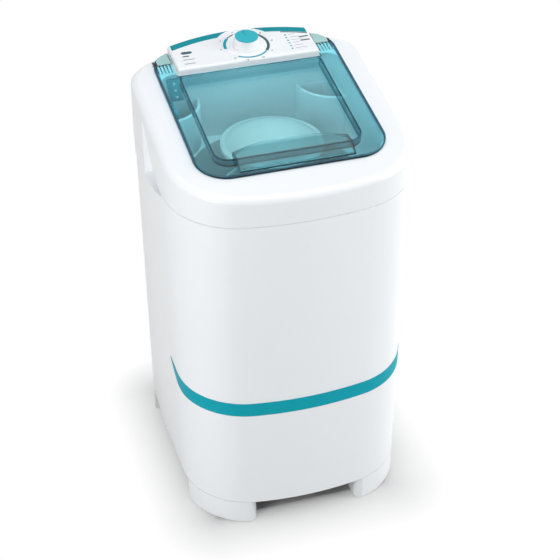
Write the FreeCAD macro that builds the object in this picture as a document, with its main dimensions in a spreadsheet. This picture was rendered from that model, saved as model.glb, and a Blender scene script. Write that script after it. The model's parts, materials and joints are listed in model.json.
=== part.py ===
import FreeCAD, Part
import math
import os
import types

import Sketcher
from FreeCAD import Placement, Rotation, Vector

# Top-loading semi-automatic washing machine, in millimetres.
# +Z is up, the front faces -Y, and the origin is on the floor under the middle of the machine.

# Driving dimensions, each the value of one sheet cell.
DIMENSIONS = {
    # cabinet outline in plan, at the foot seam (low) and at the top cover's seam (high)
    "foot_seam": 59.0,
    "cover_drop": 105.5,
    "width_low": 480.0,
    "width_high": 500.0,
    "front_low": 272.0,
    "front_high": 260.0,
    "rear_reach": 272.0,
    "rear_step": 4.0,
    "front_bow": 680.0,
    "rear_bow": 420.0,
    "front_corner": 149.0,
    "rear_corner": 70.0,
    "wall": 3.0,
    # shadow line at the cover's seam and at the feet
    "seam_gap": 1.4,
    "seam_depth": 1.6,
    # rear part of each side, turned in from an upright crease
    "facet_front": 62.0,
    "facet_angle": 3.0,
    # finger scoop in each side, across the cover's seam
    "scoop_depth": 17.0,
    "scoop_front": -130.0,
    "scoop_rear": 72.0,
    "scoop_drop": 41.0,
    "scoop_rise": 126.0,
    "scoop_sweep": 290.0,
    "scoop_middle": 55.0,
    # feet
    "foot_wall": 46.0,
    "foot_gap": 112.0,
    "foot_side_front": 146.0,
    "foot_side_rear": 172.0,
    "foot_round": 18.0,
    "pad_height": 3.0,
    "pad_radius": 15.0,
    "pad_side_inset": 64.0,
    "pad_front_inset": 60.0,
    "pad_rear_inset": 68.0,
    # base frame and its cross rails
    "frame_height": 14.0,
    "frame_width": 34.0,
    "frame_clearance": 1.0,
    "rail_width": 40.0,
    "rail_spread": 190.0,
    # front stripe
    "stripe_height": 314.0,
    "stripe_width": 32.0,
    "stripe_proud": 0.8,
    "stripe_glue": 0.2,
    "stripe_full": -168.0,
    "stripe_tip": -62.0,
    "stripe_flick": 8.0,
    # lid plane: height over the origin and slope, and the lid that lies on it
    "lid_height": 862.5,
    "lid_slope_angle": 8.92,
    "lid_edge": 5.0,
    "lid_lift": 0.5,
    "lid_half": 195.5,
    "lid_front": -186.0,
    "lid_rear_inset": 39.0,
    "lid_front_corner": 66.0,
    "lid_rear_corner": 56.0,
    "tray_half": 150.0,
    "tray_front": -134.0,
    "tray_rear_gap": 9.0,
    "tray_corner": 30.0,
    "tray_rear_corner": 8.0,
    "tray_depth": 16.0,
    "tray_wall": 3.0,
    # console at the back, between the lid's arms
    "console_half": 152.0,
    "console_reach": 120.0,
    "console_depth": 119.0,
    "console_rise": 13.0,
    "console_fall_angle": 2.6,
    "console_skin": 3.0,
    "console_round": 5.0,
    "arm_gap": 3.5,
    "lid_gap": 5.0,
    # hinge
    "hinge_inset": 67.0,
    "hinge_drop": 8.5,
    "barrel_radius": 6.5,
    "pin_radius": 3.0,
    "pin_clearance": 0.05,
    "barrel_room": 2.5,
    "lug_width": 8.0,
    "lug_gap": 1.0,
    "tail_room": 4.0,
    # grip on the lid
    "grip_half": 118.0,
    "grip_front": -178.0,
    "grip_crest": -153.0,
    "grip_back": -92.0,
    "grip_end": -124.0,
    "grip_height": 14.0,
    "grip_shell": 2.5,
    # dial, knob and timer
    "dial_across": 8.5,
    "dial_back": 54.0,
    "dial_radius": 47.5,
    "dial_plate": 0.8,
    "knob_radius": 29.0,
    "knob_top": 25.0,
    "knob_height": 21.0,
    "knob_gap": 0.4,
    "knob_cap_plate": 1.6,
    "spindle_radius": 3.0,
    "spindle_clearance": 0.05,
    "timer_width": 62.0,
    "timer_depth": 58.0,
    "timer_front": 9.0,
    "timer_room": 3.0,
    "timer_height": 34.0,
    "timer_plate": 2.0,
    # top cover
    "deck": 3.0,
    "cover_round": 15.0,
    "mouth_half": 190.0,
    "mouth_front": -181.0,
    "mouth_lap": 8.0,
    "mouth_corner": 60.0,
    "mouth_rear_corner": 26.0,
    "slot_width": 3.0,
    "slot_length": 33.0,
    "slot_pitch": 7.0,
    "slot_across": 160.0,
    "slot_lead": 39.0,
    # tub
    "tub_wall": 3.0,
    "basin_half": 193.0,
    "basin_front": -182.0,
    "basin_rear_inset": 100.0,
    "basin_corner": 62.0,
    "basin_rear_corner": 30.0,
    "ledge_drop": 146.5,
    "well_inset": 7.0,
    "tub_floor": 340.0,
    "rim_width": 12.0,
    "gasket": 2.0,
    # corner pockets
    "pocket_radius": 84.0,
    "pocket_height": 92.0,
    "pocket_lip": 7.0,
    "pocket_wall": 3.0,
    "pocket_clearance": 0.5,
    # lint filter
    "filter_width": 52.0,
    "filter_thick": 16.0,
    "filter_height": 104.0,
    "filter_frame": 7.0,
    "filter_rear_inset": 46.0,
    "filter_side_gap": 3.0,
    "filter_gap": 0.3,
    "mesh_thick": 1.0,
    # agitator
    "skirt_room": 20.0,
    "skirt_gap": 6.0,
    "skirt_edge": 6.0,
    "skirt_shoulder": 72.0,
    "skirt_rise": 50.0,
    "trunk_radius": 52.0,
    "trunk_wall": 4.0,
    "trunk_drop": 94.5,
    "hub_lift": 90.0,
    "hub_plate": 14.0,
    "hub_drop": 38.0,
    "hub_radius": 18.0,
    "vane_reach": 96.0,
    "vane_thick": 7.0,
    "vane_count": 4.0,
    "cap_radius": 106.0,
    "cap_lift": 12.0,
    "cap_lip": 10.0,
    "cap_seat": 56.0,
    "cap_spigot": 14.0,
    "cap_rise": 54.0,
    "cap_shell": 5.0,
    # drive shaft, bearings and pulleys
    "shaft_radius": 8.0,
    "shaft_tail": 27.0,
    "running_gap": 0.04,
    "bush_radius": 14.0,
    "bush_length": 20.0,
    "housing_radius": 24.0,
    "housing_lift": 27.0,
    "housing_neck": 7.0,
    "flange_radius": 62.0,
    "flange_plate": 8.0,
    "belt_drop": 127.0,
    "belt_width": 6.8,
    "belt_thick": 5.0,
    "belt_gap": 0.3,
    "driven_radius": 100.0,
    "motor_wheel_radius": 24.0,
    "groove_depth": 7.0,
    "wheel_width": 18.0,
    # motor
    "motor_inset": 20.0,
    "motor_radius": 57.0,
    "motor_lift": 27.0,
    "motor_height": 70.0,
    "motor_shaft_radius": 6.0,
    "rotor_radius": 30.0,
    "bracket_plate": 4.0,
    "bracket_half": 64.0,
    "leg_radius": 8.0,
    "leg_spread": 52.0,
    "leg_back": 4.0,
    "mount_spread": 46.0,
    "grommet": 4.0,
    "bolt_radius": 3.0,
    # drain
    "drain_inset": 24.0,
    "drain_angle": 37.0,
    "drain_radius": 15.0,
    "drain_wall": 2.5,
    "drain_bend": 40.0,
    "drain_outlet": 108.0,
    "spigot_radius": 13.0,
    "spigot_length": 16.0,
    "spigot_plug": 14.0,
    # rear access panel, capacitor and cord gland
    "access_half": 96.0,
    "access_low": 150.0,
    "access_high": 400.0,
    "access_lap": 16.0,
    "access_plate": 2.5,
    "screw_head": 4.5,
    "screw_proud": 1.5,
    "capacitor_radius": 20.0,
    "capacitor_length": 72.0,
    "capacitor_inset": 90.0,
    "capacitor_back": 95.0,
    "gland_across": 130.0,
    "gland_height": 112.0,
    "gland_radius": 11.0,
    "gland_flange": 14.0,
    "gland_bore": 4.0,
    "gland_length": 16.0,
}


class Size:
    """A length or angle that carries its value and the sheet formula that gives it."""

    def __init__(self, value, formula):
        self.value = value
        self.formula = formula

    def __add__(self, other):
        other = sized(other)
        return Size(self.value + other.value, f"({self.formula} + {other.formula})")

    def __sub__(self, other):
        other = sized(other)
        return Size(self.value - other.value, f"({self.formula} - {other.formula})")

    def __mul__(self, other):
        other = sized(other)
        return Size(self.value * other.value, f"({self.formula} * {other.formula})")

    def __truediv__(self, other):
        other = sized(other)
        return Size(self.value / other.value, f"({self.formula} / {other.formula})")

    def __radd__(self, other):
        return sized(other) + self

    def __rsub__(self, other):
        return sized(other) - self

    def __rmul__(self, other):
        return sized(other) * self

    def __neg__(self):
        return Size(-self.value, f"(0 - {self.formula})")


def sized(thing):
    """A plain number becomes a Size of that constant."""
    if isinstance(thing, Size):
        return thing
    return Size(float(thing), f"({float(thing)})")


def root(thing):
    return Size(math.sqrt(thing.value), f"sqrt({thing.formula})")


def sine(angle):
    return Size(math.sin(math.radians(angle.value)), f"sin({angle.formula})")


def cosine(angle):
    return Size(math.cos(math.radians(angle.value)), f"cos({angle.formula})")


def tangent(angle):
    return Size(math.tan(math.radians(angle.value)), f"tan({angle.formula})")


def arctangent(ratio):
    return Size(math.degrees(math.atan(ratio.value)), f"atan({ratio.formula})")


doc = FreeCAD.newDocument("washing_machine")
sheet = doc.addObject("Spreadsheet::Sheet", "dims")
for row, (alias, number) in enumerate(DIMENSIONS.items(), start=1):
    sheet.set(f"A{row}", alias)
    sheet.set(f"B{row}", str(number))
    sheet.setAlias(f"B{row}", alias)
doc.recompute()
d = types.SimpleNamespace(**{alias: Size(number, f"dims.{alias}") for alias, number in DIMENSIONS.items()})
nodes = []


def bind(item, path, length):
    item.setExpression(path, sized(length).formula)


def place(item, across=0, back=0, up=0, axis=None, turn=0):
    """Puts an object at a point, turned by an angle about an axis."""
    item.Placement = Placement(Vector(), Rotation(axis or Vector(1, 0, 0), sized(turn).value))
    bind(item, "Placement.Base.x", across)
    bind(item, "Placement.Base.y", back)
    bind(item, "Placement.Base.z", up)
    if axis:
        bind(item, "Placement.Rotation.Angle", turn)
    return item


def keep(item, name):
    """Names an object as a finished sub-part."""
    item.Label = name
    nodes.append((name, item))
    return item


def new_body(name):
    return doc.addObject("PartDesign::Body", name)


def new_sketch(body, role, level=0):
    """An empty sketch on one of the body's own origin planes, moved along the plane's normal."""
    plane = next(item for item in body.Origin.OriginFeatures if item.Role == role)
    sketch = body.newObject("Sketcher::SketchObject", f"{body.Name}_sketch")
    sketch.AttachmentSupport = [(plane, "")]
    sketch.MapMode = "FlatFace"
    bind(sketch, "AttachmentOffset.Base.z", level)
    return sketch


def fix(sketch, kind, length, *where):
    """A dimension of the sketch, bound to its formula."""
    length = sized(length)
    index = sketch.addConstraint(Sketcher.Constraint(kind, *where, length.value))
    bind(sketch, f"Constraints[{index}]", length)


def fix_point(sketch, edge, end, point):
    fix(sketch, "DistanceX", point[0], -1, 1, edge, end)
    fix(sketch, "DistanceY", point[1], -1, 1, edge, end)


def arc_through(start, end, radius):
    """The arc of a radius from start to end, bulging to the right of the way from start to end."""
    chord = end - start
    middle = (start + end) * 0.5
    left = Vector(-chord.y, chord.x, 0).normalize()
    centre = middle + left * math.sqrt(radius ** 2 - (chord.Length / 2) ** 2)
    first = math.atan2(start.y - centre.y, start.x - centre.x)
    last = math.atan2(end.y - centre.y, end.x - centre.x)
    return Part.ArcOfCircle(Part.Circle(centre, Vector(0, 0, 1), radius), first, last)


def profile(body, role, corners, bulges=None, level=0):
    """A closed outline through corners; bulges gives the radius of the edges that are arcs."""
    bulges = bulges or {}
    corners = [(sized(x), sized(y)) for x, y in corners]
    sketch = new_sketch(body, role, level)
    points = [Vector(x.value, y.value, 0) for x, y in corners]
    count = len(points)
    for i in range(count):
        start = points[i]
        end = points[(i + 1) % count]
        if i in bulges:
            sketch.addGeometry(arc_through(start, end, sized(bulges[i]).value))
        else:
            sketch.addGeometry(Part.LineSegment(start, end))
    for i in range(count):
        sketch.addConstraint(Sketcher.Constraint("Coincident", i, 2, (i + 1) % count, 1))
        fix_point(sketch, i, 1, corners[i])
    for i, radius in bulges.items():
        fix(sketch, "Radius", radius, i)
    return sketch


def smooth_loop(sketch, edges):
    """Adds edges that follow one another, each tangent to the next."""
    for edge in edges:
        sketch.addGeometry(edge)
    for i in range(len(edges)):
        sketch.addConstraint(Sketcher.Constraint("Tangent", i, 2, (i + 1) % len(edges), 1))


def arc(across, back, radius, first, last):
    """An arc about a centre, between two angles in degrees."""
    circle = Part.Circle(Vector(across, back, 0), Vector(0, 0, 1), radius)
    return Part.ArcOfCircle(circle, math.radians(first), math.radians(last))


def plan_outline(body, level, width, front, inset=0, rear=None):
    """The cabinet's plan: bowed front and back, straight sides and four rounded corners."""
    rear = sized(cabinet_rear if rear is None else rear) - inset
    half = width / 2 - inset
    front = front - inset
    front_bow = d.front_bow - inset
    rear_bow = d.rear_bow - inset
    front_corner = d.front_corner - inset
    rear_corner = d.rear_corner - inset
    w = half.value
    f_side = w - front_corner.value
    r_side = w - rear_corner.value
    f_rise = math.sqrt((front_bow.value - front_corner.value) ** 2 - f_side ** 2)
    r_rise = math.sqrt((rear_bow.value - rear_corner.value) ** 2 - r_side ** 2)
    f_back = front_bow.value - front.value
    r_back = rear.value - rear_bow.value
    f_angle = math.degrees(math.atan2(f_side, f_rise))
    r_angle = math.degrees(math.atan2(r_side, r_rise))
    f_low = f_back - f_rise
    r_high = r_back + r_rise
    sketch = new_sketch(body, "XY_Plane", level)
    smooth_loop(sketch, [
        arc(0, f_back, front_bow.value, 270 - f_angle, 270 + f_angle),
        arc(f_side, f_low, front_corner.value, 270 + f_angle, 360),
        Part.LineSegment(Vector(w, f_low, 0), Vector(w, r_high, 0)),
        arc(r_side, r_high, rear_corner.value, 0, 90 - r_angle),
        arc(0, r_back, rear_bow.value, 90 - r_angle, 90 + r_angle),
        arc(-r_side, r_high, rear_corner.value, 90 + r_angle, 180),
        Part.LineSegment(Vector(-w, r_high, 0), Vector(-w, f_low, 0)),
        arc(-f_side, f_low, front_corner.value, 180, 270 - f_angle),
    ])
    for side, place_x in ((2, half), (6, -half)):
        sketch.addConstraint(Sketcher.Constraint("Vertical", side))
        fix(sketch, "DistanceX", place_x, -1, 1, side, 1)
    fix_point(sketch, 0, 3, (0, front_bow - front))
    fix_point(sketch, 4, 3, (0, rear - rear_bow))
    for edge, radius in ((0, front_bow), (4, rear_bow), (1, front_corner), (7, front_corner),
                         (3, rear_corner), (5, rear_corner)):
        fix(sketch, "Radius", radius, edge)
    return sketch


def rounded(body, level, half, low, high, low_corner, high_corner=None, role="XY_Plane", middle=0):
    """A rectangle about a middle line, with rounded corners, from low to high."""
    high_corner = sized(low_corner if high_corner is None else high_corner)
    low_corner = sized(low_corner)
    low = sized(low)
    high = sized(high)
    middle = sized(middle)
    right = middle + half
    left = middle - half
    x0, x1, y0, y1 = left.value, right.value, low.value, high.value
    a, b = low_corner.value, high_corner.value
    sketch = new_sketch(body, role, level)
    smooth_loop(sketch, [
        Part.LineSegment(Vector(x0 + a, y0, 0), Vector(x1 - a, y0, 0)),
        arc(x1 - a, y0 + a, a, 270, 360),
        Part.LineSegment(Vector(x1, y0 + a, 0), Vector(x1, y1 - b, 0)),
        arc(x1 - b, y1 - b, b, 0, 90),
        Part.LineSegment(Vector(x1 - b, y1, 0), Vector(x0 + b, y1, 0)),
        arc(x0 + b, y1 - b, b, 90, 180),
        Part.LineSegment(Vector(x0, y1 - b, 0), Vector(x0, y0 + a, 0)),
        arc(x0 + a, y0 + a, a, 180, 270),
    ])
    for edge, kind in ((0, "Horizontal"), (4, "Horizontal"), (2, "Vertical"), (6, "Vertical")):
        sketch.addConstraint(Sketcher.Constraint(kind, edge))
    fix(sketch, "DistanceY", low, -1, 1, 0, 1)
    fix(sketch, "DistanceY", high, -1, 1, 4, 1)
    fix(sketch, "DistanceX", right, -1, 1, 2, 1)
    fix(sketch, "DistanceX", left, -1, 1, 6, 1)
    for edge, radius in ((1, low_corner), (7, low_corner), (3, high_corner), (5, high_corner)):
        fix(sketch, "Radius", radius, edge)
    return sketch


def circles(body, role, level, rings):
    """Circles in one sketch, each a centre and a radius."""
    sketch = new_sketch(body, role, level)
    for i, (across, back, radius) in enumerate(rings):
        across, back, radius = sized(across), sized(back), sized(radius)
        sketch.addGeometry(Part.Circle(Vector(across.value, back.value, 0), Vector(0, 0, 1), radius.value))
        fix_point(sketch, i, 3, (across, back))
        fix(sketch, "Radius", radius, i)
    return sketch


def extrude(body, kind, sketch, length, backwards=False, both_ways=False):
    feature = body.newObject(f"PartDesign::{kind}", f"{body.Name}_{kind.lower()}")
    feature.Profile = sketch
    bind(feature, "Length", length)
    feature.Reversed = backwards
    feature.Midplane = both_ways
    return feature


def pad(body, sketch, length, backwards=False, both_ways=False):
    return extrude(body, "Pad", sketch, length, backwards, both_ways)


def pocket(body, sketch, length, backwards=False, both_ways=False):
    return extrude(body, "Pocket", sketch, length, backwards, both_ways)


def turned(name, corners, bulges=None, across=0, back=0, up=0):
    """A solid of revolution from a profile of radius and height."""
    body = new_body(name)
    sketch = profile(body, "XZ_Plane", corners, bulges)
    feature = body.newObject("PartDesign::Revolution", f"{name}_revolution")
    feature.Profile = sketch
    feature.ReferenceAxis = (sketch, ["V_Axis"])
    feature.Angle = 360
    return place(body, across, back, up)


def round_edges(body, base, radius, chosen):
    """A fillet on the edges of the body's last feature that a test picks."""
    doc.recompute()
    names = [f"Edge{i + 1}" for i, edge in enumerate(base.Shape.Edges) if chosen(edge)]
    feature = body.newObject("PartDesign::Fillet", f"{body.Name}_fillet")
    feature.Base = (base, names)
    bind(feature, "Radius", radius)
    return feature


def cylinder(name, radius, height, across=0, back=0, up=0, axis=None, turn=0):
    item = doc.addObject("Part::Cylinder", name)
    bind(item, "Radius", radius)
    bind(item, "Height", height)
    return place(item, across, back, up, axis, turn)


def box(name, across, back, up, length, width, height):
    item = doc.addObject("Part::Box", name)
    bind(item, "Length", length)
    bind(item, "Width", width)
    bind(item, "Height", height)
    return place(item, across, back, up)


def cut(name, base, *tools):
    for i, tool in enumerate(tools):
        item = doc.addObject("Part::Cut", f"{name}_cut{i}")
        item.Base = base
        item.Tool = tool
        base = item
    return base


def fuse(name, *items):
    item = doc.addObject("Part::MultiFuse", name)
    item.Shapes = list(items)
    return item


def common(name, first, second):
    item = doc.addObject("Part::Common", name)
    item.Base = first
    item.Tool = second
    return item


def group(name, items):
    """Separate solids that share one node."""
    item = doc.addObject("Part::Compound", name)
    item.Links = items
    return keep(item, name)


ALONG_X = Vector(1, 0, 0)
ALONG_Y = Vector(0, 1, 0)
FAR = 700
cabinet_rear = d.rear_reach - d.rear_step

# Places that follow the lid's height, the back of the machine, the basin or the tub's floor.
d.cover_seam = d.lid_height - d.cover_drop
d.scoop_low = d.cover_seam - d.scoop_drop
d.scoop_high = d.scoop_low + d.scoop_rise
d.ledge_height = d.lid_height - d.ledge_drop
d.trunk_top = d.lid_height - d.trunk_drop
d.cap_edge = d.trunk_top + d.cap_lift
d.cap_top = d.trunk_top + d.cap_rise
d.lid_rear = d.rear_reach - d.lid_rear_inset
d.console_front = d.rear_reach - d.console_reach
d.hinge_back = d.rear_reach - d.hinge_inset
d.tray_rear = d.console_front - d.tray_rear_gap
d.mouth_rear = d.console_front + d.mouth_lap
d.slot_back = d.hinge_back - d.slot_lead
d.basin_rear = d.rear_reach - d.basin_rear_inset
d.tub_middle = (d.basin_front + d.basin_rear) / 2
d.well_radius = (d.basin_rear - d.basin_front) / 2 - d.well_inset
d.skirt_radius = d.well_radius - d.skirt_room
d.hub_floor = d.tub_floor + d.hub_lift
d.hub_low = d.hub_floor - d.hub_drop
d.belt_height = d.tub_floor - d.belt_drop
d.shaft_low = d.belt_height - d.shaft_tail
d.housing_low = d.belt_height + d.housing_lift
d.motor_low = d.belt_height + d.motor_lift
d.motor_distance = d.well_radius - d.motor_inset
d.drain_across = -(d.well_radius - d.drain_inset) * cosine(d.drain_angle)
d.drain_back = d.tub_middle + (d.well_radius - d.drain_inset) * sine(d.drain_angle)
d.pad_across = d.width_low / 2 - d.pad_side_inset
d.pad_front = d.pad_front_inset - d.front_low
d.pad_rear = cabinet_rear - d.pad_rear_inset
d.capacitor_across = d.width_low / 2 - d.capacitor_inset

# Points of the lid plane are given by their way back along the slope and their height over it.
LID_TURN = {"axis": ALONG_X, "turn": d.lid_slope_angle}


def lid_point(back, over):
    """Back and up of a point on the lid plane's own axes."""
    y = sized(back) * cosine(d.lid_slope_angle) - sized(over) * sine(d.lid_slope_angle)
    z = d.lid_height + sized(back) * sine(d.lid_slope_angle) + sized(over) * cosine(d.lid_slope_angle)
    return y, z


def on_lid(item):
    """Lays an object that is drawn flat onto the lid plane."""
    return place(item, 0, 0, d.lid_height, **LID_TURN)


panel_turn = d.lid_slope_angle - d.console_fall_angle
panel_y, panel_z = lid_point(d.console_front, d.console_rise)


def on_panel(item, back=0, across=0):
    """Lays an object onto the console's panel, back from its front edge and across from its middle."""
    y = panel_y + sized(back) * cosine(panel_turn)
    z = panel_z + sized(back) * sine(panel_turn)
    return place(item, across, y, z, ALONG_X, panel_turn)


def loft_between(name, low, high, inset=0):
    """The cabinet's drafted form from the foot seam to the cover seam, or past them for a cutter."""
    body = new_body(name)
    first = plan_outline(body, low, d.width_low, d.front_low, inset)
    last = plan_outline(body, high, d.width_high, d.front_high, inset)
    feature = body.newObject("PartDesign::AdditiveLoft", f"{name}_loft")
    feature.Profile = first
    feature.Sections = [last]
    feature.Ruled = True
    return body


def side_at(level):
    """Half the cabinet's width at a height, by its draft."""
    return d.width_low / 2 + (d.width_high - d.width_low) / 2 * (
        (level - d.foot_seam) / (d.cover_seam - d.foot_seam))


def leaning_slab(name, place_at, lean, turn, length, width, height, front=False):
    """A slab whose inner face passes through a point, leaned out about Y and then turned about Z."""
    item = doc.addObject("Part::Box", f"{name}_box")
    bind(item, "Length", length)
    bind(item, "Width", width)
    bind(item, "Height", height)
    place(item, 0, -sized(width) if front else 0, 0, ALONG_Y, lean)
    turned_box = doc.addObject("Part::Compound", name)
    turned_box.Links = [item]
    return place(turned_box, *place_at, Vector(0, 0, 1), turn)


draft_angle = arctangent((d.width_high - d.width_low) / 2 / (d.cover_seam - d.foot_seam))


def facet_tool(name, grow, low, high, lean):
    """The cutter that turns the rear of one side in from the crease, or its backing when grown inwards."""
    return leaning_slab(name, (side_at(d.foot_seam + low) - grow, d.facet_front, d.foot_seam + low), lean,
                        d.facet_angle,
                        d.rear_corner, d.rear_reach, high - low)


def cabinet_facet(name, grow):
    return facet_tool(name, grow, -grow, d.scoop_low - d.foot_seam + grow, draft_angle)


def scoop_tool(name, grow):
    """The cutter of one finger scoop: a wedge that deepens to the back over a swept floor, or its backing."""
    half = d.width_high / 2
    rise = d.scoop_high - d.scoop_low
    run = d.scoop_rear - d.scoop_front
    turn = arctangent(d.scoop_depth / run)
    lean = arctangent(d.scoop_depth / rise * cosine(turn))
    low = d.scoop_low - grow
    rear = d.scoop_rear + grow
    slab = leaning_slab(f"{name}_slab", (half - d.scoop_depth - grow, rear, low), lean, turn,
                        d.scoop_depth * 4, run * 2,
                        rise * 2, front=True)
    floor = cylinder(f"{name}_floor", d.scoop_sweep + grow, half * 2, 0, d.scoop_middle,
                     d.scoop_low + d.scoop_sweep,
                     ALONG_Y, 90)
    limit = box(f"{name}_limit", half / 2, rear - run * 2, low, half, run * 2, rise * 2)
    return common(name, common(f"{name}_sweep", slab, floor), limit)


def mirrored(name, item):
    """The same solid on the other side of the machine."""
    other = doc.addObject("Part::Mirroring", name)
    other.Source = item
    other.Normal = Vector(1, 0, 0)
    return other


def both_sides(name, item):
    return [item, mirrored(f"{name}_left", item)]


facets = both_sides("facet", cabinet_facet("facet", sized(0)))
scoops = both_sides("scoop", scoop_tool("scoop", sized(0)))
facet_backs = both_sides("facet_back", cabinet_facet("facet_back", d.wall))
scoop_backs = both_sides("scoop_back", scoop_tool("scoop_back", d.wall))


def plan_slab(name, level, thick, width, front, inset, rear=None):
    """A flat slab with the cabinet's plan."""
    body = new_body(name)
    pad(body, plan_outline(body, level, width, front, inset, rear), thick)
    return body


# Cabinet: a drafted shell with turned-in sides, finger scoops, an access opening and two holes at the back.
cabinet_form = loft_between("cabinet_form", d.foot_seam, d.cover_seam)
cabinet_space = loft_between("cabinet_space", d.foot_seam, d.cover_seam, d.wall)
cabinet_room = cut("cabinet_room", cabinet_space, *facet_backs, *scoop_backs)
seam_low = d.cover_seam - d.seam_gap
seam_line = cut("seam_line", plan_slab("seam_outer", seam_low, d.seam_gap, d.width_high, d.front_high,
                                       -d.seam_depth),
                plan_slab("seam_inner", seam_low, d.seam_gap, d.width_high, d.front_high, d.seam_depth))
access_hole = box("access_hole", -d.access_half, 0, d.access_low, d.access_half * 2, FAR,
                  d.access_high - d.access_low)
rear_face = cabinet_rear - d.rear_bow


def rear_at(across):
    """How far back the cabinet's bowed rear face is, at a place across it."""
    return rear_face + root(d.rear_bow * d.rear_bow - sized(across) * sized(across))


drain_hole = cylinder("drain_hole", d.drain_radius + d.pin_clearance, FAR, d.drain_across, FAR,
                      d.drain_outlet,
                      ALONG_X, 90)
gland_hole = cylinder("gland_hole", d.gland_radius, FAR, d.gland_across, FAR, d.gland_height, ALONG_X, 90)
keep(cut("cabinet", cabinet_form, *facets, *scoops, cabinet_room, seam_line, access_hole, drain_hole,
         gland_hole),
     "cabinet")

# Feet: four corner legs cut from one ring that follows the cabinet's plan.
foot_height = d.foot_seam - d.pad_height


def foot_ring(name, inset, seam_inset):
    """The feet's ring with its plan drawn in just under the cabinet, for the shadow line."""
    body = plan_slab(name, d.pad_height, foot_height - d.seam_gap, d.width_low, d.front_low, inset)
    pad(body, plan_outline(body, d.foot_seam - d.seam_gap, d.width_low, d.front_low, seam_inset), d.seam_gap)
    return body


foot_facet = leaning_slab("foot_facet", (d.width_low / 2, d.facet_front, 0), 0, d.facet_angle, d.rear_corner,
                          d.rear_reach, d.foot_seam)
ring = cut("foot_ring", foot_ring("foot_ring_outer", 0, d.seam_depth),
           foot_ring("foot_ring_inner", d.foot_wall, d.foot_wall),
           *both_sides("foot_facet", foot_facet))


def foot_block(name, front, side):
    """The block that keeps one corner of the ring."""
    across = d.foot_gap if side > 0 else -(d.foot_gap + d.width_high)
    back = -(d.foot_side_front + d.front_high) if front else d.foot_side_rear
    return box(name, across, back, 0, d.width_high, d.front_high, d.foot_seam)


def foot_corner(name, front, side):
    """What a foot's rounded inner end leaves out: a square corner less a round post."""
    across = d.foot_gap + d.foot_round
    if front:
        middle = d.front_bow - d.front_low - root(d.front_bow * d.front_bow - across * across) + d.foot_round
    else:
        middle = rear_at(across) - d.foot_round
    square = box(f"{name}_square", d.foot_gap if side > 0 else -across,
                 middle - d.foot_round * 2 if front else middle, 0,
                 d.foot_round, d.foot_round * 2, d.foot_seam)
    return cut(name, square, cylinder(f"{name}_post", d.foot_round, d.foot_seam, across * side, middle))


for front, end in ((True, "front"), (False, "rear")):
    for side, hand in ((-1, "left"), (1, "right")):
        name = f"foot_{end}_{hand}"
        keep(cut(name, common(f"{name}_piece", ring, foot_block(f"{name}_block", front, side)),
                 foot_corner(f"{name}_corner", front, side)), name)

foot_spots = [(d.pad_across * side, back) for back in (d.pad_front, d.pad_rear) for side in (-1, 1)]
group("foot_pads", [cylinder("foot_pad", d.pad_radius, d.pad_height, x, y) for x, y in foot_spots])

# Base frame: a flat ring that lies on the feet inside the cabinet, with two cross rails.


frame_inset = d.wall + d.frame_clearance
frame_rim = cut("frame_rim", plan_slab("frame_outer", d.foot_seam, d.frame_height, d.width_low, d.front_low,
                                       frame_inset),
                plan_slab("frame_inner", d.foot_seam, d.frame_height, d.width_low, d.front_low,
                          frame_inset + d.frame_width),
                *both_sides("frame_facet", cabinet_facet("frame_facet", frame_inset)))
rails = [box("frame_rail", -(d.width_low / 2 - frame_inset - d.rail_width / 2), back - d.rail_width / 2,
             d.foot_seam,
             d.width_low - frame_inset * 2 - d.rail_width, d.rail_width, d.frame_height)
         for back in (-d.rail_spread / 2, d.rail_spread / 2)]
keep(fuse("base_frame", frame_rim, *rails), "base_frame")
group("foot_screws", [
    cylinder("foot_screw", d.screw_head, d.screw_proud, x, y, d.foot_seam + d.frame_height)
    for x, y in foot_spots])

# Front stripe: a thin band glued onto the cabinet, with pointed ends on its sides.
stripe_skin = cut("stripe_skin", loft_between("stripe_over", d.foot_seam, d.cover_seam,
                                              -(d.stripe_glue + d.stripe_proud)),
                  loft_between("stripe_under", d.foot_seam, d.cover_seam, -d.stripe_glue))
stripe_body = new_body("stripe_band")
stripe_low = d.stripe_height - d.stripe_width / 2
stripe_high = d.stripe_height + d.stripe_width / 2
stripe_run = d.stripe_tip - d.stripe_full
stripe_climb = d.stripe_width + d.stripe_flick
stripe_curve = (stripe_run * stripe_run + stripe_climb * stripe_climb) / (stripe_climb * 2)
pad(stripe_body, profile(stripe_body, "YZ_Plane", [
    (-FAR, stripe_low), (d.stripe_full, stripe_low), (d.stripe_tip, stripe_high + d.stripe_flick),
    (d.stripe_full, stripe_high), (-FAR, stripe_high)], {1: stripe_curve}), FAR, both_ways=True)
keep(common("front_stripe", stripe_skin, stripe_body), "front_stripe")


# Top cover: an upright wall closed by a sloping deck, with a mouth under the lid.
def hood(name, inset, drop, low):
    body = new_body(name)
    pad(body, plan_outline(body, low, d.width_high, d.front_high, inset, d.rear_reach), FAR)
    slope = tangent(d.lid_slope_angle)
    level = d.lid_height - (d.lid_edge + drop) / cosine(d.lid_slope_angle)
    trim = profile(body, "YZ_Plane", [
        (-FAR, level - slope * FAR), (FAR, level + slope * FAR), (FAR, FAR * 3), (-FAR, FAR * 3)])
    feature = pocket(body, trim, FAR * 2, both_ways=True)
    return body, feature


def in_deck(edge):
    """True for the rim of the sloping deck: both ends high up and the edge not upright."""
    start = edge.Vertexes[0].Point
    end = edge.Vertexes[-1].Point
    return min(start.z, end.z) > d.cover_seam.value + 1


cover_form, cover_trim = hood("cover_form", 0, 0, d.cover_seam)
round_edges(cover_form, cover_trim, d.cover_round, in_deck)
cover_room, room_trim = hood("cover_room", d.wall, d.deck, d.cover_seam - d.wall)
round_edges(cover_room, room_trim, d.cover_round - d.wall, in_deck)

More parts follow.
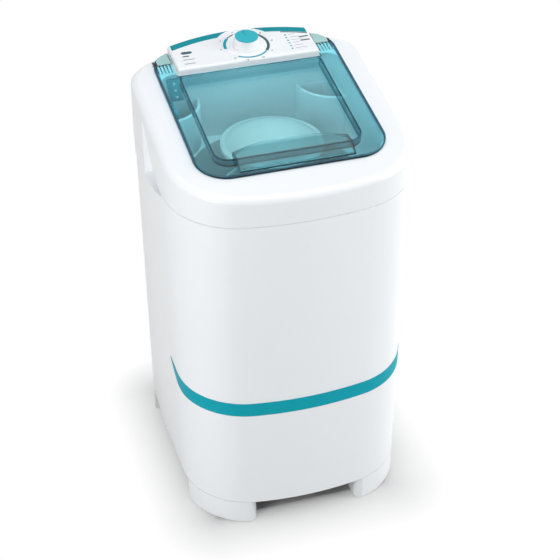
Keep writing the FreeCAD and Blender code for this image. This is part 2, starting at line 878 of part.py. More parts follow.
mouth = new_body("mouth")
pad(mouth, rounded(mouth, 0, d.mouth_half, d.mouth_front, d.mouth_rear, d.mouth_corner, d.mouth_rear_corner),
    FAR / 10,
    both_ways=True)
on_lid(mouth)

timer_door = new_body("timer_door")
timer_half = d.timer_width / 2 + d.timer_room
timer_start = d.console_front + d.dial_back - d.timer_front
pad(timer_door, rounded(timer_door, 0, timer_half, timer_start - d.timer_room,
                        timer_start + d.timer_depth + d.timer_room * 2, d.console_round,
                        middle=d.dial_across), FAR / 20,
    both_ways=True)
on_lid(timer_door)

arm_inner = d.console_half + d.arm_gap
barrel_end = d.lid_half - d.arm_gap
hinge_y, hinge_z = lid_point(d.hinge_back, -d.hinge_drop)
hinge_room = new_body("hinge_room")
room_radius = d.barrel_radius + d.barrel_room
pad(hinge_room, rounded(hinge_room, 0, barrel_end + d.lug_gap, d.hinge_back - room_radius,
                        d.hinge_back + room_radius,
                        d.barrel_room), FAR / 20, both_ways=True)
pad(hinge_room, rounded(hinge_room, 0, d.lid_half + d.tail_room, d.lid_front, d.lid_rear + d.tail_room,
                        d.lid_front_corner, d.lid_rear_corner + d.tail_room), FAR / 20, both_ways=True)
pocket(hinge_room, rounded(hinge_room, 0, d.lid_half + d.lug_width, d.lid_front - d.lug_width,
                           d.hinge_back - room_radius, d.barrel_room), FAR / 20, both_ways=True)
pocket(hinge_room, rounded(hinge_room, 0, arm_inner - d.lug_gap, d.lid_front, d.lid_rear + d.lug_width,
                           d.barrel_room),
       FAR / 20, both_ways=True)
on_lid(hinge_room)


def hinge_lug(name, across):
    """A block under the deck that carries one end of a hinge pin."""
    body = new_body(name)
    reach = d.barrel_radius
    low = -(d.hinge_drop + d.pin_radius * 2)
    pad(body, profile(body, "YZ_Plane", [
        (d.hinge_back - reach, low), (d.hinge_back + reach, low),
        (d.hinge_back + reach, -d.lid_edge - d.deck / 2),
        (d.hinge_back - reach, -d.lid_edge - d.deck / 2)], None, across), d.lug_width)
    return on_lid(body)


lug_places = (arm_inner - d.lug_gap - d.lug_width, barrel_end + d.lug_gap,
              -(arm_inner - d.lug_gap), -(barrel_end + d.lug_gap + d.lug_width))
lugs = [hinge_lug(f"hinge_lug_{i}", across) for i, across in enumerate(lug_places)]

slots = []
for side in (-1, 1):
    for i in range(5):
        body = new_body(f"arm_slot_{i}")
        middle = (d.slot_across + d.slot_pitch * i) * side
        pad(body, rounded(body, 0, d.slot_width / 2, d.slot_back, d.slot_back + d.slot_length,
                          d.slot_width / 4,
                          middle=middle), FAR / 20, both_ways=True)
        slots.append(on_lid(body))
cover_shell = cut("cover_shell", cover_form, *scoops, cut("cover_hollow", cover_room, *scoop_backs), mouth,
                  timer_door, hinge_room, fuse("arm_slots", *slots))

pin_length = barrel_end - arm_inner + d.lug_gap * 2 + d.lug_width * 2
pin_start = arm_inner - d.lug_gap - d.lug_width


def pin_bar(name, start):
    return cylinder(name, d.pin_radius, pin_length, start, hinge_y, hinge_z, ALONG_Y, 90)


pin_starts = (pin_start, -(pin_start + pin_length))
keep(cut("top_cover", fuse("cover_lugged", cover_shell, *lugs),
         *[pin_bar("pin_bore", start) for start in pin_starts]),
     "top_cover")
group("hinge_pins", [pin_bar("hinge_pin", start) for start in pin_starts])


# Lid: a clear plate with a sunk window, two arms beside the console and a barrel on each arm.
def rolled(body, radius, half):
    """A bar across the machine at the hinge."""
    return pad(body, circles(body, "YZ_Plane", 0, [(d.hinge_back, -d.hinge_drop, radius)]), half * 2,
               both_ways=True)


lid = new_body("lid_panel")
lid_thick = d.lid_edge - d.lid_lift
tray_outer = d.tray_half + d.tray_wall
pad(lid, rounded(lid, -lid_thick, d.lid_half, d.lid_front, d.lid_rear, d.lid_front_corner, d.lid_rear_corner),
    lid_thick)
pad(lid, rounded(lid, -(d.tray_depth + d.tray_wall), tray_outer, d.tray_front - d.tray_wall,
                 d.tray_rear + d.tray_wall, d.tray_corner + d.tray_wall, d.tray_rear_corner + d.tray_wall),
    d.tray_depth)
rolled(lid, d.barrel_radius, barrel_end)
pocket(lid, rounded(lid, -d.tray_depth, d.tray_half, d.tray_front, d.tray_rear, d.tray_corner,
                    d.tray_rear_corner),
       FAR, backwards=True)
pocket(lid, profile(lid, "XY_Plane", [
    (-arm_inner, d.console_front - d.lid_gap), (arm_inner, d.console_front - d.lid_gap), (arm_inner, FAR),
    (-arm_inner, FAR)]), FAR, both_ways=True)
pocket(lid, circles(lid, "YZ_Plane", 0, [(d.hinge_back, -d.hinge_drop, d.pin_radius + d.pin_clearance)]), FAR,
       both_ways=True)
keep(on_lid(lid), "lid_panel")

# Grip: a raised wedge at the front of the lid, with an arched rear edge.
wedge = new_body("grip_wedge")
pad(wedge, profile(wedge, "YZ_Plane", [
    (d.grip_front, 0), (d.grip_back, 0), (d.grip_crest, d.grip_height),
    (d.grip_front + d.pin_radius, d.tray_wall)]),
    d.grip_half * 2, both_ways=True)
on_lid(wedge)
arch = new_body("grip_arch")
arch_rise = d.grip_back - d.grip_end
arch_radius = (d.grip_half * d.grip_half + arch_rise * arch_rise) / (arch_rise * 2)
pad(arch, profile(arch, "XY_Plane", [
    (-d.grip_half, d.lid_front), (d.grip_half, d.lid_front), (d.grip_half, d.grip_end),
    (-d.grip_half, d.grip_end)],
    {2: arch_radius}), FAR / 10, both_ways=True)
on_lid(arch)
shell = d.grip_shell
hollow_wedge = new_body("grip_hollow_wedge")
hollow_front = d.grip_front + shell * 2.4
pad(hollow_wedge, profile(hollow_wedge, "YZ_Plane", [
    (hollow_front, -shell), (d.grip_back - shell * 3, -shell), (d.grip_crest, d.grip_height - shell),
    (hollow_front, d.tray_wall - shell / 2)]), (d.grip_half - shell) * 2, both_ways=True)
on_lid(hollow_wedge)
hollow_arch = new_body("grip_hollow_arch")
hollow_half = d.grip_half - shell
pad(hollow_arch, profile(hollow_arch, "XY_Plane", [
    (-hollow_half, d.lid_front), (hollow_half, d.lid_front), (hollow_half, d.grip_end - shell),
    (-hollow_half, d.grip_end - shell)], {2: arch_radius - shell}), FAR / 10, both_ways=True)
on_lid(hollow_arch)
keep(cut("lid_grip", common("grip_form", wedge, arch), common("grip_hollow", hollow_wedge, hollow_arch)),
     "lid_grip")

# Console: a hollow housing with a flat panel and a bowed back.


def console_form(name, inset, top):
    body = new_body(name)
    half = d.console_half - inset
    back = d.console_depth - inset
    bow = d.rear_bow - inset
    side = back - bow + root(bow * bow - half * half)
    pad(body, profile(body, "XY_Plane", [(-half, inset), (half, inset), (half, side), (-half, side)],
                      {2: bow},
                      -FAR / 10), FAR / 10 - top)
    fall = tangent(d.console_fall_angle)
    under = -(d.console_rise + d.lid_edge)
    feature = pocket(body, profile(body, "YZ_Plane", [
        (-FAR, under - fall * FAR), (FAR, under + fall * FAR), (FAR, -FAR), (-FAR, -FAR)]), FAR,
        both_ways=True)
    return body, feature


def in_panel(edge):
    """True for the rim of the console's panel face."""
    return min(vertex.Point.z for vertex in edge.Vertexes) > -0.5


console_outer, console_trim_cut = console_form("console_outer", sized(0), sized(0))
round_edges(console_outer, console_trim_cut, d.console_round, in_panel)
on_panel(console_outer)
console_room, console_room_cut = console_form("console_room", d.console_skin, d.console_skin)
on_panel(console_room)
spindle_y = panel_y + d.dial_back * cosine(panel_turn)
spindle_z = panel_z + d.dial_back * sine(panel_turn)
spindle_hole = cylinder("spindle_hole", d.spindle_radius * 2, d.console_skin * 3,
                        d.dial_across, spindle_y + d.console_skin * 2 * sine(panel_turn),
                        spindle_z - d.console_skin * 2 * cosine(panel_turn), ALONG_X, panel_turn)
keep(cut("console_housing", console_outer, console_room, spindle_hole), "console_housing")

dial = new_body("dial_scale")
pad(dial, circles(dial, "XY_Plane", 0, [(0, 0, d.dial_radius), (0, 0, d.spindle_radius * 2)]), d.dial_plate)
keep(on_panel(dial, d.dial_back, d.dial_across), "dial_scale")

# Knob, its coloured cap and the timer's spindle.
knob_low = d.dial_plate + d.knob_gap
knob_high = knob_low + d.knob_height
cap_low = knob_high - d.knob_cap_plate
rim = d.knob_cap_plate
knob = turned("knob", [
    (d.spindle_radius, knob_low + rim * 2), (d.spindle_radius * 2, knob_low + rim * 2),
    (d.spindle_radius * 2, cap_low - rim * 2), (d.knob_top - rim, cap_low - rim * 2),
    (d.knob_radius - rim, knob_low),
    (d.knob_radius, knob_low), (d.knob_top, cap_low), (d.spindle_radius, cap_low)])
keep(on_panel(knob, d.dial_back, d.dial_across), "knob")
knob_cap = new_body("knob_cap")
pad(knob_cap, circles(knob_cap, "XY_Plane", cap_low, [(0, 0, d.knob_top - rim / 2)]), d.knob_cap_plate)
pad(knob_cap, rounded(knob_cap, cap_low, rim, d.knob_top * 0.2, d.knob_top * 0.9, rim * 0.6),
    d.knob_cap_plate * 2)
keep(on_panel(knob_cap, d.dial_back, d.dial_across), "knob_cap")
timer_top = -(d.console_skin + d.timer_plate)
spindle = new_body("timer_spindle")
spindle_low = timer_top - d.timer_height / 2
pad(spindle, circles(spindle, "XY_Plane", spindle_low, [(0, 0, d.spindle_radius)]), cap_low - spindle_low)
keep(on_panel(spindle, d.dial_back, d.dial_across), "timer_spindle")

timer = new_body("timer_body")
pad(timer, rounded(timer, timer_top - d.timer_height, d.timer_width / 2, -d.timer_front,
                   d.timer_depth - d.timer_front, d.console_round), d.timer_height)
pocket(timer, circles(timer, "XY_Plane", timer_top, [(0, 0, d.spindle_radius + d.spindle_clearance)]),
       d.timer_height / 2 + d.knob_gap)
keep(on_panel(timer, d.dial_back, d.dial_across), "timer_body")
bracket = new_body("timer_bracket")
pad(bracket, rounded(bracket, timer_top, d.timer_width / 2 + d.console_round * 3, -d.timer_depth / 2 + rim,
                     d.timer_depth / 2 - rim, d.console_round), d.timer_plate)
pocket(bracket, circles(bracket, "XY_Plane", timer_top, [(0, 0, d.spindle_radius * 2)]), d.timer_plate,
       backwards=True)
keep(on_panel(bracket, d.dial_back, d.dial_across), "timer_bracket")


# Tub: a rounded basin under the mouth, a round well below it and a flanged rim.
def basin(name, inset, low):
    body = new_body(name)
    pad(body, rounded(body, low, d.basin_half - inset, d.basin_front + inset, d.basin_rear - inset,
                      d.basin_corner - inset, d.basin_rear_corner - inset), FAR)
    slope = tangent(d.lid_slope_angle)
    level = d.lid_height - (d.lid_edge + d.deck + d.gasket) / cosine(d.lid_slope_angle)
    pocket(body, profile(body, "YZ_Plane", [
        (-FAR, level - slope * FAR), (FAR, level + slope * FAR), (FAR, FAR * 3), (-FAR, FAR * 3)]), FAR * 2,
        both_ways=True)
    return body


def rim_ring(name, low, thick, inner, outer):
    """A flat ring on the slope that follows the basin's edge."""
    body = new_body(name)
    stretch = cosine(d.lid_slope_angle)
    shift = low * sine(d.lid_slope_angle)
    front = (d.basin_front + shift) / stretch
    rear = (d.basin_rear + shift) / stretch
    for feature, edge in ((pad, outer), (pocket, inner)):
        feature(body, rounded(body, low, d.basin_half + edge, front - edge, rear + edge,
                              d.basin_corner + edge,
                              d.basin_rear_corner + edge), thick, backwards=feature is pocket)
    return on_lid(body)


rim_top = -(d.lid_edge + d.deck + d.gasket)
tub_under = d.tub_floor - d.tub_wall
well_top = d.ledge_height + d.tub_wall
tub_solid = fuse("tub_solid", basin("basin_outer", sized(0), d.ledge_height),
                 cylinder("well_outer", d.well_radius + d.tub_wall, well_top - tub_under, 0, d.tub_middle,
                          tub_under),
                 rim_ring("tub_rim", rim_top - d.tub_wall, d.tub_wall, -d.tub_wall, d.rim_width))
tub_room = fuse("tub_room", basin("basin_inner", d.tub_wall, well_top),
                cylinder("well_inner", d.well_radius, well_top + d.tub_wall - d.tub_floor, 0, d.tub_middle,
                         d.tub_floor))
flange_spots = [(d.flange_radius * across / 4, d.tub_middle + d.flange_radius * back / 4)
                for across, back in ((3, 0), (0, 3), (-3, 0), (0, -3))]
flange_holes = [cylinder("flange_hole", d.bolt_radius, FAR / 10, x, y, tub_under - d.tub_wall)
                for x, y in flange_spots]
neck_hole = cylinder("neck_hole", d.housing_radius, FAR / 10, 0, d.tub_middle, tub_under - d.tub_wall)
sump_hole = cylinder("sump_hole", d.drain_radius, FAR / 10, d.drain_across, d.drain_back,
                     tub_under - d.tub_wall)
keep(cut("tub", tub_solid, tub_room, neck_hole, sump_hole, *flange_holes), "tub")
keep(rim_ring("tub_gasket", rim_top, d.gasket, sized(0), d.rim_width), "tub_gasket")


# Corner pockets: quarter-round bins with a thick lip, standing on the tub's ledge.
pocket_inset = d.tub_wall + d.pocket_clearance
pocket_low = well_top
pocket_top = pocket_low + d.pocket_height


def corner_disc(kind, name, side, low):
    """A quarter of a round form about a rear corner of the basin."""
    item = doc.addObject(kind, name)
    item.Placement = Placement(Vector(), Rotation(Vector(0, 0, 1), 180 if side > 0 else 270))
    bind(item, "Placement.Base.x", (d.basin_half - pocket_inset) * side)
    bind(item, "Placement.Base.y", d.basin_rear - pocket_inset)
    bind(item, "Placement.Base.z", low)
    return item


def corner_drum(name, side, radius, low, height):
    item = corner_disc("Part::Cylinder", name, side, low)
    item.Angle = 90
    bind(item, "Radius", radius)
    bind(item, "Height", height)
    return item


for side, hand in ((-1, "left"), (1, "right")):
    name = f"{hand}_pocket"
    lip = corner_disc("Part::Torus", f"{name}_lip", side, pocket_top)
    lip.Angle3 = 90
    bind(lip, "Radius1", d.pocket_radius - d.pocket_lip / 2)
    bind(lip, "Radius2", d.pocket_lip / 2)
    shell = fuse(f"{name}_form", corner_drum(f"{name}_drum", side, d.pocket_radius, pocket_low,
                                             d.pocket_height), lip)
    seated = common(f"{name}_seated", shell, basin(f"{name}_limit", pocket_inset, pocket_low))
    room = common(f"{name}_space",
                  corner_drum(f"{name}_bore", side, d.pocket_radius - d.pocket_lip,
                              pocket_low + d.pocket_wall,
                              d.pocket_height * 2),
                  basin(f"{name}_inner", pocket_inset + d.pocket_wall, pocket_low))
    keep(cut(name, seated, room), name)


# Lint filter: an upright frame with a mesh panel and a finger tab, standing in the left pocket.
def upright(body):
    across = d.basin_half - pocket_inset - d.pocket_wall - d.filter_side_gap - d.filter_thick / 2
    back = d.basin_rear - pocket_inset - d.filter_rear_inset
    return place(body, -across, back, pocket_low + d.pocket_wall + d.filter_gap, Vector(0, 0, 1), 90)


filter_body = new_body("lint_filter")
pad(filter_body, rounded(filter_body, 0, d.filter_width / 2, 0, d.filter_height, d.filter_frame / 2,
                         role="XZ_Plane"),
    d.filter_thick, both_ways=True)
pocket(filter_body, rounded(filter_body, 0, d.filter_width / 2 - d.filter_frame, d.filter_frame,
                            d.filter_height - d.filter_frame * 3, d.filter_frame / 2, role="XZ_Plane"),
       d.filter_thick * 2, both_ways=True)
pocket(filter_body, rounded(filter_body, 0, d.filter_width / 4, d.filter_height - d.filter_frame * 2,
                            d.filter_height - d.filter_frame, d.filter_frame / 3, role="XZ_Plane"),
       d.filter_thick * 2, both_ways=True)
keep(upright(filter_body), "lint_filter")
mesh = new_body("lint_mesh")
pad(mesh, rounded(mesh, 0, d.filter_width / 2 - d.filter_frame, d.filter_frame,
                  d.filter_height - d.filter_frame * 3,
                  d.filter_frame / 2, role="XZ_Plane"), d.mesh_thick, both_ways=True)
keep(upright(mesh), "lint_mesh")

# Agitator: a skirt that carries a hollow trunk with vanes, closed by a domed cap.
skirt_low = d.tub_floor + d.skirt_gap
hub_top = d.hub_floor + d.hub_plate
trunk_bore = d.trunk_radius - d.trunk_wall
agitator = turned("agitator", [
    (d.skirt_radius - d.skirt_edge, skirt_low), (d.skirt_radius, skirt_low),
    (d.skirt_radius, skirt_low + d.skirt_edge), (d.skirt_shoulder, skirt_low + d.skirt_rise),
    (d.trunk_radius, hub_top), (d.trunk_radius, d.trunk_top), (trunk_bore, d.trunk_top),
    (trunk_bore, hub_top),
    (d.shaft_radius, hub_top), (d.shaft_radius, d.hub_low), (d.hub_radius, d.hub_low),
    (d.hub_radius, d.hub_floor),
    (trunk_bore, d.hub_floor), (d.skirt_shoulder - d.skirt_edge, skirt_low + d.skirt_rise - d.skirt_edge / 2),
    (d.skirt_radius - d.skirt_edge, skirt_low + d.skirt_edge / 2)], back=d.tub_middle)
vane_low = skirt_low + d.skirt_rise - d.skirt_edge / 2
reach_drop = (d.vane_reach - d.skirt_shoulder) / (d.skirt_radius - d.skirt_shoulder) * d.skirt_rise
vane = pad(agitator, profile(agitator, "XZ_Plane", [
    (d.trunk_radius - d.trunk_wall / 2, vane_low), (d.skirt_shoulder, vane_low),
    (d.vane_reach, vane_low - reach_drop),
    (d.vane_reach, d.trunk_top - d.cap_spigot * 3), (d.trunk_radius - d.trunk_wall / 2,
                                                     d.trunk_top - d.cap_spigot)]),
    d.vane_thick, both_ways=True)
vanes = agitator.newObject("PartDesign::PolarPattern", "agitator_vanes")
vanes.Originals = [vane]
vanes.Axis = (next(item for item in agitator.Origin.OriginFeatures if item.Role == "Z_Axis"), [""])
vanes.Angle = 360
bind(vanes, "Occurrences", d.vane_count)
agitator.Tip = vanes
keep(agitator, "agitator")

dome_edge = d.cap_radius - d.cap_lip
dome_low = d.cap_edge + d.cap_lip
dome_rise = d.cap_top - dome_low
dome_curve = (dome_edge * dome_edge + dome_rise * dome_rise) / (dome_rise * 2)
spigot_radius = trunk_bore - d.pin_clearance * 2
keep(turned("agitator_cap", [
    (spigot_radius - d.cap_shell, d.trunk_top - d.cap_spigot), (spigot_radius, d.trunk_top - d.cap_spigot),
    (spigot_radius, d.trunk_top), (d.cap_seat, d.trunk_top), (d.cap_seat, d.cap_top - d.cap_shell * 5),
    (dome_edge - d.cap_shell, d.cap_edge + d.cap_shell), (dome_edge, d.cap_edge), (d.cap_radius, d.cap_edge),
    (d.cap_radius, dome_low - d.cap_shell / 2), (dome_edge, dome_low), (0, d.cap_top),
    (0, d.cap_top - d.cap_shell),
    (spigot_radius - d.cap_shell, d.cap_top - d.cap_shell * 3)], {9: dome_curve}, back=d.tub_middle),
    "agitator_cap")

# Drive shaft in two bushes, in a housing bolted under the tub.
bolt_shank = d.bolt_radius
keep(turned("drive_shaft", [
    (0, d.shaft_low), (d.shaft_radius, d.shaft_low), (d.shaft_radius, hub_top), (bolt_shank, hub_top),
    (bolt_shank, d.hub_low), (0, d.hub_low)], back=d.tub_middle), "drive_shaft")
keep(turned("agitator_bolt", [
    (0, d.hub_low + d.bolt_radius), (bolt_shank, d.hub_low + d.bolt_radius), (bolt_shank, hub_top),
    (d.hub_radius, hub_top), (d.hub_radius, hub_top + d.bolt_radius * 2), (0, hub_top + d.bolt_radius * 2)],
    back=d.tub_middle), "agitator_bolt")

flange_low = tub_under - d.flange_plate
neck_top = d.tub_floor + d.housing_neck - d.skirt_edge / 3
housing = turned("bearing_housing", [
    (d.bush_radius, d.housing_low), (d.housing_radius, d.housing_low), (d.housing_radius, flange_low),
    (d.flange_radius, flange_low), (d.flange_radius, tub_under), (d.housing_radius, tub_under),
    (d.housing_radius, neck_top), (d.bush_radius, neck_top)], back=d.tub_middle)
pocket(housing, circles(housing, "XY_Plane", flange_low, [
    (x, y - d.tub_middle, d.bolt_radius) for x, y in flange_spots]), d.flange_plate, backwards=True)
keep(housing, "bearing_housing")


def sleeve(name, low, length):
    inner = d.shaft_radius + d.running_gap
    return keep(turned(name, [(inner, low), (d.bush_radius, low), (d.bush_radius, low + length),
                              (inner, low + length)],
                       back=d.tub_middle), name)


seal_length = d.bush_length / 2
sleeve("lower_bush", d.housing_low, d.bush_length)
sleeve("upper_bush", neck_top - seal_length - d.bush_length, d.bush_length)
sleeve("shaft_seal", neck_top - seal_length, seal_length)


def headed_bolt(name, low, shank, head, across, back, up_side):
    """A bolt with a round head above or below its shank."""
    wide = d.bolt_radius * 2
    corners = [(0, low), (d.bolt_radius, low), (d.bolt_radius, low + shank), (wide, low + shank),
               (wide, low + shank + head), (0, low + shank + head)]
    if not up_side:
        corners = [(0, low - head), (wide, low - head), (wide, low), (d.bolt_radius, low),
                   (d.bolt_radius, low + shank), (0, low + shank)]
    return turned(name, corners, None, across, back)


group("bearing_bolts", [headed_bolt("bearing_bolt", flange_low, d.flange_plate + d.tub_wall, d.bolt_radius, x,
                                    y, False)
                        for x, y in flange_spots])


# Pulleys: grooved rims on the drive shaft and on the motor shaft, joined by a belt.
def rim_corners(radius):
    """The grooved rim from its lower edge to its upper edge."""
    half = d.wheel_width / 2
    mouth = d.belt_width / 2 + d.groove_depth / 2
    root_half = d.belt_width / 2 + d.belt_gap
    root_radius = radius - d.groove_depth
    return [(radius, d.belt_height - half), (radius, d.belt_height - mouth),
            (root_radius, d.belt_height - root_half),
            (root_radius, d.belt_height + root_half), (radius, d.belt_height + mouth),
            (radius, d.belt_height + half)]


web_half = d.wheel_width / 5
rim_inner = d.driven_radius - d.groove_depth * 2
hub_half = d.wheel_width / 2 + d.bolt_radius
wheel_half = d.wheel_width / 2
driven = turned("driven_pulley", [
    (d.shaft_radius, d.belt_height - hub_half), (d.hub_radius, d.belt_height - hub_half),
    (d.hub_radius, d.belt_height - web_half), (rim_inner, d.belt_height - web_half),
    (rim_inner, d.belt_height - wheel_half), *rim_corners(d.driven_radius),
    (rim_inner, d.belt_height + wheel_half),
    (rim_inner, d.belt_height + web_half), (d.hub_radius, d.belt_height + web_half),
    (d.hub_radius, d.belt_height + hub_half), (d.shaft_radius, d.belt_height + hub_half)], back=d.tub_middle)
web_middle = (d.hub_radius + rim_inner) / 2
web_hole = pocket(driven, circles(driven, "XY_Plane", d.belt_height + hub_half,
                                  [(web_middle, 0, d.hub_radius)]),
                  d.wheel_width * 2)
web_holes = driven.newObject("PartDesign::PolarPattern", "driven_pulley_holes")
web_holes.Originals = [web_hole]
web_holes.Axis = (next(item for item in driven.Origin.OriginFeatures if item.Role == "Z_Axis"), [""])
web_holes.Angle = 360
web_holes.Occurrences = 5
driven.Tip = web_holes
keep(driven, "driven_pulley")
nut_low = d.belt_height - hub_half - d.shaft_radius
keep(turned("pulley_nut", [
    (d.shaft_radius, nut_low), (d.hub_radius, nut_low), (d.hub_radius, nut_low + d.shaft_radius),
    (d.shaft_radius, nut_low + d.shaft_radius)], back=d.tub_middle), "pulley_nut")

motor_back = d.tub_middle + d.motor_distance
keep(turned("motor_pulley", [
    (d.motor_shaft_radius, d.belt_height - wheel_half), *rim_corners(d.motor_wheel_radius),
    (d.motor_shaft_radius, d.belt_height + wheel_half)], back=motor_back), "motor_pulley")


def belt_loop(body, grow):
    """The line round both pulleys: two arcs joined by straight runs."""
    big = d.driven_radius - d.groove_depth + d.belt_gap + grow
    small = d.motor_wheel_radius - d.groove_depth + d.belt_gap + grow
    lean = math.asin((big.value - small.value) / d.motor_distance.value)
    out = Vector(math.cos(lean), math.sin(lean), 0)
    away = Vector(-math.cos(lean), math.sin(lean), 0)
    far = Vector(0, d.motor_distance.value, 0)
    turn = math.degrees(lean)
    sketch = new_sketch(body, "XY_Plane", d.belt_height - d.belt_width / 2)
    smooth_loop(sketch, [
        Part.LineSegment(out * big.value, far + out * small.value),
        arc(0, d.motor_distance.value, small.value, turn, 180 - turn),
        Part.LineSegment(far + away * small.value, away * big.value),
        arc(0, 0, big.value, 180 - turn, 360 + turn)])
    fix_point(sketch, 1, 3, (0, d.motor_distance))
    fix_point(sketch, 3, 3, (0, 0))
    fix(sketch, "Radius", small, 1)
    fix(sketch, "Radius", big, 3)
    return sketch


belt = new_body("drive_belt")
pad(belt, belt_loop(belt, d.belt_thick), d.belt_width)
pocket(belt, belt_loop(belt, sized(0)), d.belt_width, backwards=True)
keep(place(belt, 0, d.tub_middle), "drive_belt")

# Motor: a round housing with a square mounting ear, a rotor on its shaft, and a bracket under the tub.
motor_top = d.motor_low + d.motor_height
motor_bore = d.motor_shaft_radius + d.running_gap
cover = d.motor_height / 5
ear = d.bracket_plate
bell = d.motor_radius - d.groove_depth
motor = turned("motor_body", [
    (motor_bore, d.motor_low), (bell, d.motor_low), (d.motor_radius, d.motor_low + d.groove_depth),
    (d.motor_radius, motor_top - d.groove_depth), (bell, motor_top), (motor_bore, motor_top),
    (motor_bore, motor_top - cover), (d.rotor_radius + d.knob_gap, motor_top - cover),
    (d.rotor_radius + d.knob_gap, d.motor_low + cover), (motor_bore, d.motor_low + cover)], back=motor_back)
pad(motor, rounded(motor, motor_top - ear, d.bracket_half - d.bracket_plate,
                   -(d.bracket_half - d.bracket_plate),
                   d.bracket_half - d.bracket_plate, d.leg_radius), ear)
mount_spots = [(d.mount_spread * x, d.mount_spread * y) for x, y in ((1, 1), (-1, 1), (-1, -1), (1, -1))]
pocket(motor, circles(motor, "XY_Plane", motor_top, [(x, y, d.bolt_radius) for x, y in mount_spots]), ear)
pocket(motor, circles(motor, "XY_Plane", motor_top, [(0, 0, motor_bore)]), cover)
keep(motor, "motor_body")
rotor_gap = d.knob_gap
keep(turned("motor_rotor", [
    (d.motor_shaft_radius, d.motor_low + cover + rotor_gap), (d.rotor_radius,
                                                              d.motor_low + cover + rotor_gap),
    (d.rotor_radius, motor_top - cover - rotor_gap), (d.motor_shaft_radius, motor_top - cover - rotor_gap)],
    back=motor_back), "motor_rotor")
keep(cylinder("motor_shaft", d.motor_shaft_radius, motor_top - (d.belt_height - hub_half), 0, motor_back,
              d.belt_height - hub_half), "motor_shaft")
group("motor_grommets", [turned("motor_grommet", [
    (d.bolt_radius, motor_top), (d.bolt_radius * 3, motor_top), (d.bolt_radius * 3, motor_top + d.grommet),
    (d.bolt_radius, motor_top + d.grommet)], None, x, motor_back + y) for x, y in mount_spots])
bracket_low = motor_top + d.grommet
plate = new_body("bracket_plate_form")
pad(plate, rounded(plate, bracket_low, d.bracket_half, -d.bracket_half, d.bracket_half, d.leg_radius),
    d.bracket_plate)
pocket(plate, circles(plate, "XY_Plane", bracket_low, [
    (0, 0, d.rotor_radius), *[(x, y, d.bolt_radius) for x, y in mount_spots]]), d.bracket_plate,
    backwards=True)
place(plate, 0, motor_back)
bracket_top = bracket_low + d.bracket_plate
legs = [cylinder("bracket_leg", d.leg_radius, tub_under - bracket_top, d.leg_spread * side, motor_back + back,
                 bracket_top)
        for side in (-1, 1) for back in (-d.leg_spread, d.leg_back)]
leg_clear = [cylinder("leg_clear", d.bolt_radius * 2 + d.belt_gap, d.bracket_plate * 2, x, motor_back + y,
                      bracket_top)
             for x, y in mount_spots]
keep(cut("motor_bracket", fuse("bracket_form", plate, *legs), *leg_clear), "motor_bracket")
group("motor_bolts", [headed_bolt("motor_bolt", motor_top - ear, ear + d.grommet + d.bracket_plate,
                                  d.bolt_radius, x,
                                  motor_back + y, True) for x, y in mount_spots])

# Drain: a strainer on the tub's floor, a pipe that bends to the back, and a spigot through the cabinet.
strainer = new_body("drain_strainer")
pad(strainer, circles(strainer, "XY_Plane", 0, [
    (0, 0, d.drain_radius + d.drain_wall * 2), *[
        (d.drain_radius / 2 * math.cos(math.radians(step * 60)),
         d.drain_radius / 2 * math.sin(math.radians(step * 60)),
         d.drain_wall) for step in range(6)]]), d.drain_wall)
keep(place(strainer, d.drain_across, d.drain_back, d.tub_floor), "drain_strainer")
pipe = new_body("drain_pipe")
spine = new_sketch(pipe, "YZ_Plane")
collar_end = rear_at(-d.drain_across - d.drain_radius)
outlet_end = rear_at(d.drain_across) - d.spigot_plug
top = Vector(d.drain_back.value, d.tub_floor.value, 0)
bend_top = Vector(d.drain_back.value, (d.drain_outlet + d.drain_bend).value, 0)
bend_end = Vector((d.drain_back + d.drain_bend).value, d.drain_outlet.value, 0)
end = Vector(outlet_end.value, d.drain_outlet.value, 0)
spine.addGeometry(Part.LineSegment(top, bend_top))
spine.addGeometry(arc((d.drain_back + d.drain_bend).value, (d.drain_outlet + d.drain_bend).value,
                      d.drain_bend.value,
                      180, 270))
spine.addGeometry(Part.LineSegment(bend_end, end))
spine.addConstraint(Sketcher.Constraint("Tangent", 0, 2, 1, 1))
spine.addConstraint(Sketcher.Constraint("Tangent", 1, 2, 2, 1))
fix_point(spine, 0, 1, (d.drain_back, d.tub_floor))
fix(spine, "DistanceX", d.drain_back, -1, 1, 0, 2)
fix_point(spine, 2, 2, (outlet_end, d.drain_outlet))
spine.addConstraint(Sketcher.Constraint("Horizontal", 2))
fix(spine, "Radius", d.drain_bend, 1)
section = circles(pipe, "XY_Plane", d.tub_floor, [
    (0, d.drain_back, d.drain_radius), (0, d.drain_back, d.drain_radius - d.drain_wall)])
sweep = pipe.newObject("PartDesign::AdditivePipe", "drain_pipe_sweep")
sweep.Profile = section
sweep.Spine = (spine, ["Edge1", "Edge2", "Edge3"])
keep(place(pipe, d.drain_across), "drain_pipe")
plug_radius = d.drain_radius - d.drain_wall
spigot_bore = plug_radius - d.drain_wall
collar_length = collar_end - outlet_end
spigot = turned("drain_spigot", [
    (spigot_bore, -d.spigot_plug), (plug_radius, -d.spigot_plug), (plug_radius, 0), (d.drain_radius, 0),
    (d.drain_radius, collar_length), (d.spigot_radius, collar_length),
    (d.spigot_radius, collar_length + d.spigot_length), (spigot_bore, collar_length + d.spigot_length)])
keep(place(spigot, d.drain_across, outlet_end, d.drain_outlet, ALONG_X, -90), "drain_spigot")

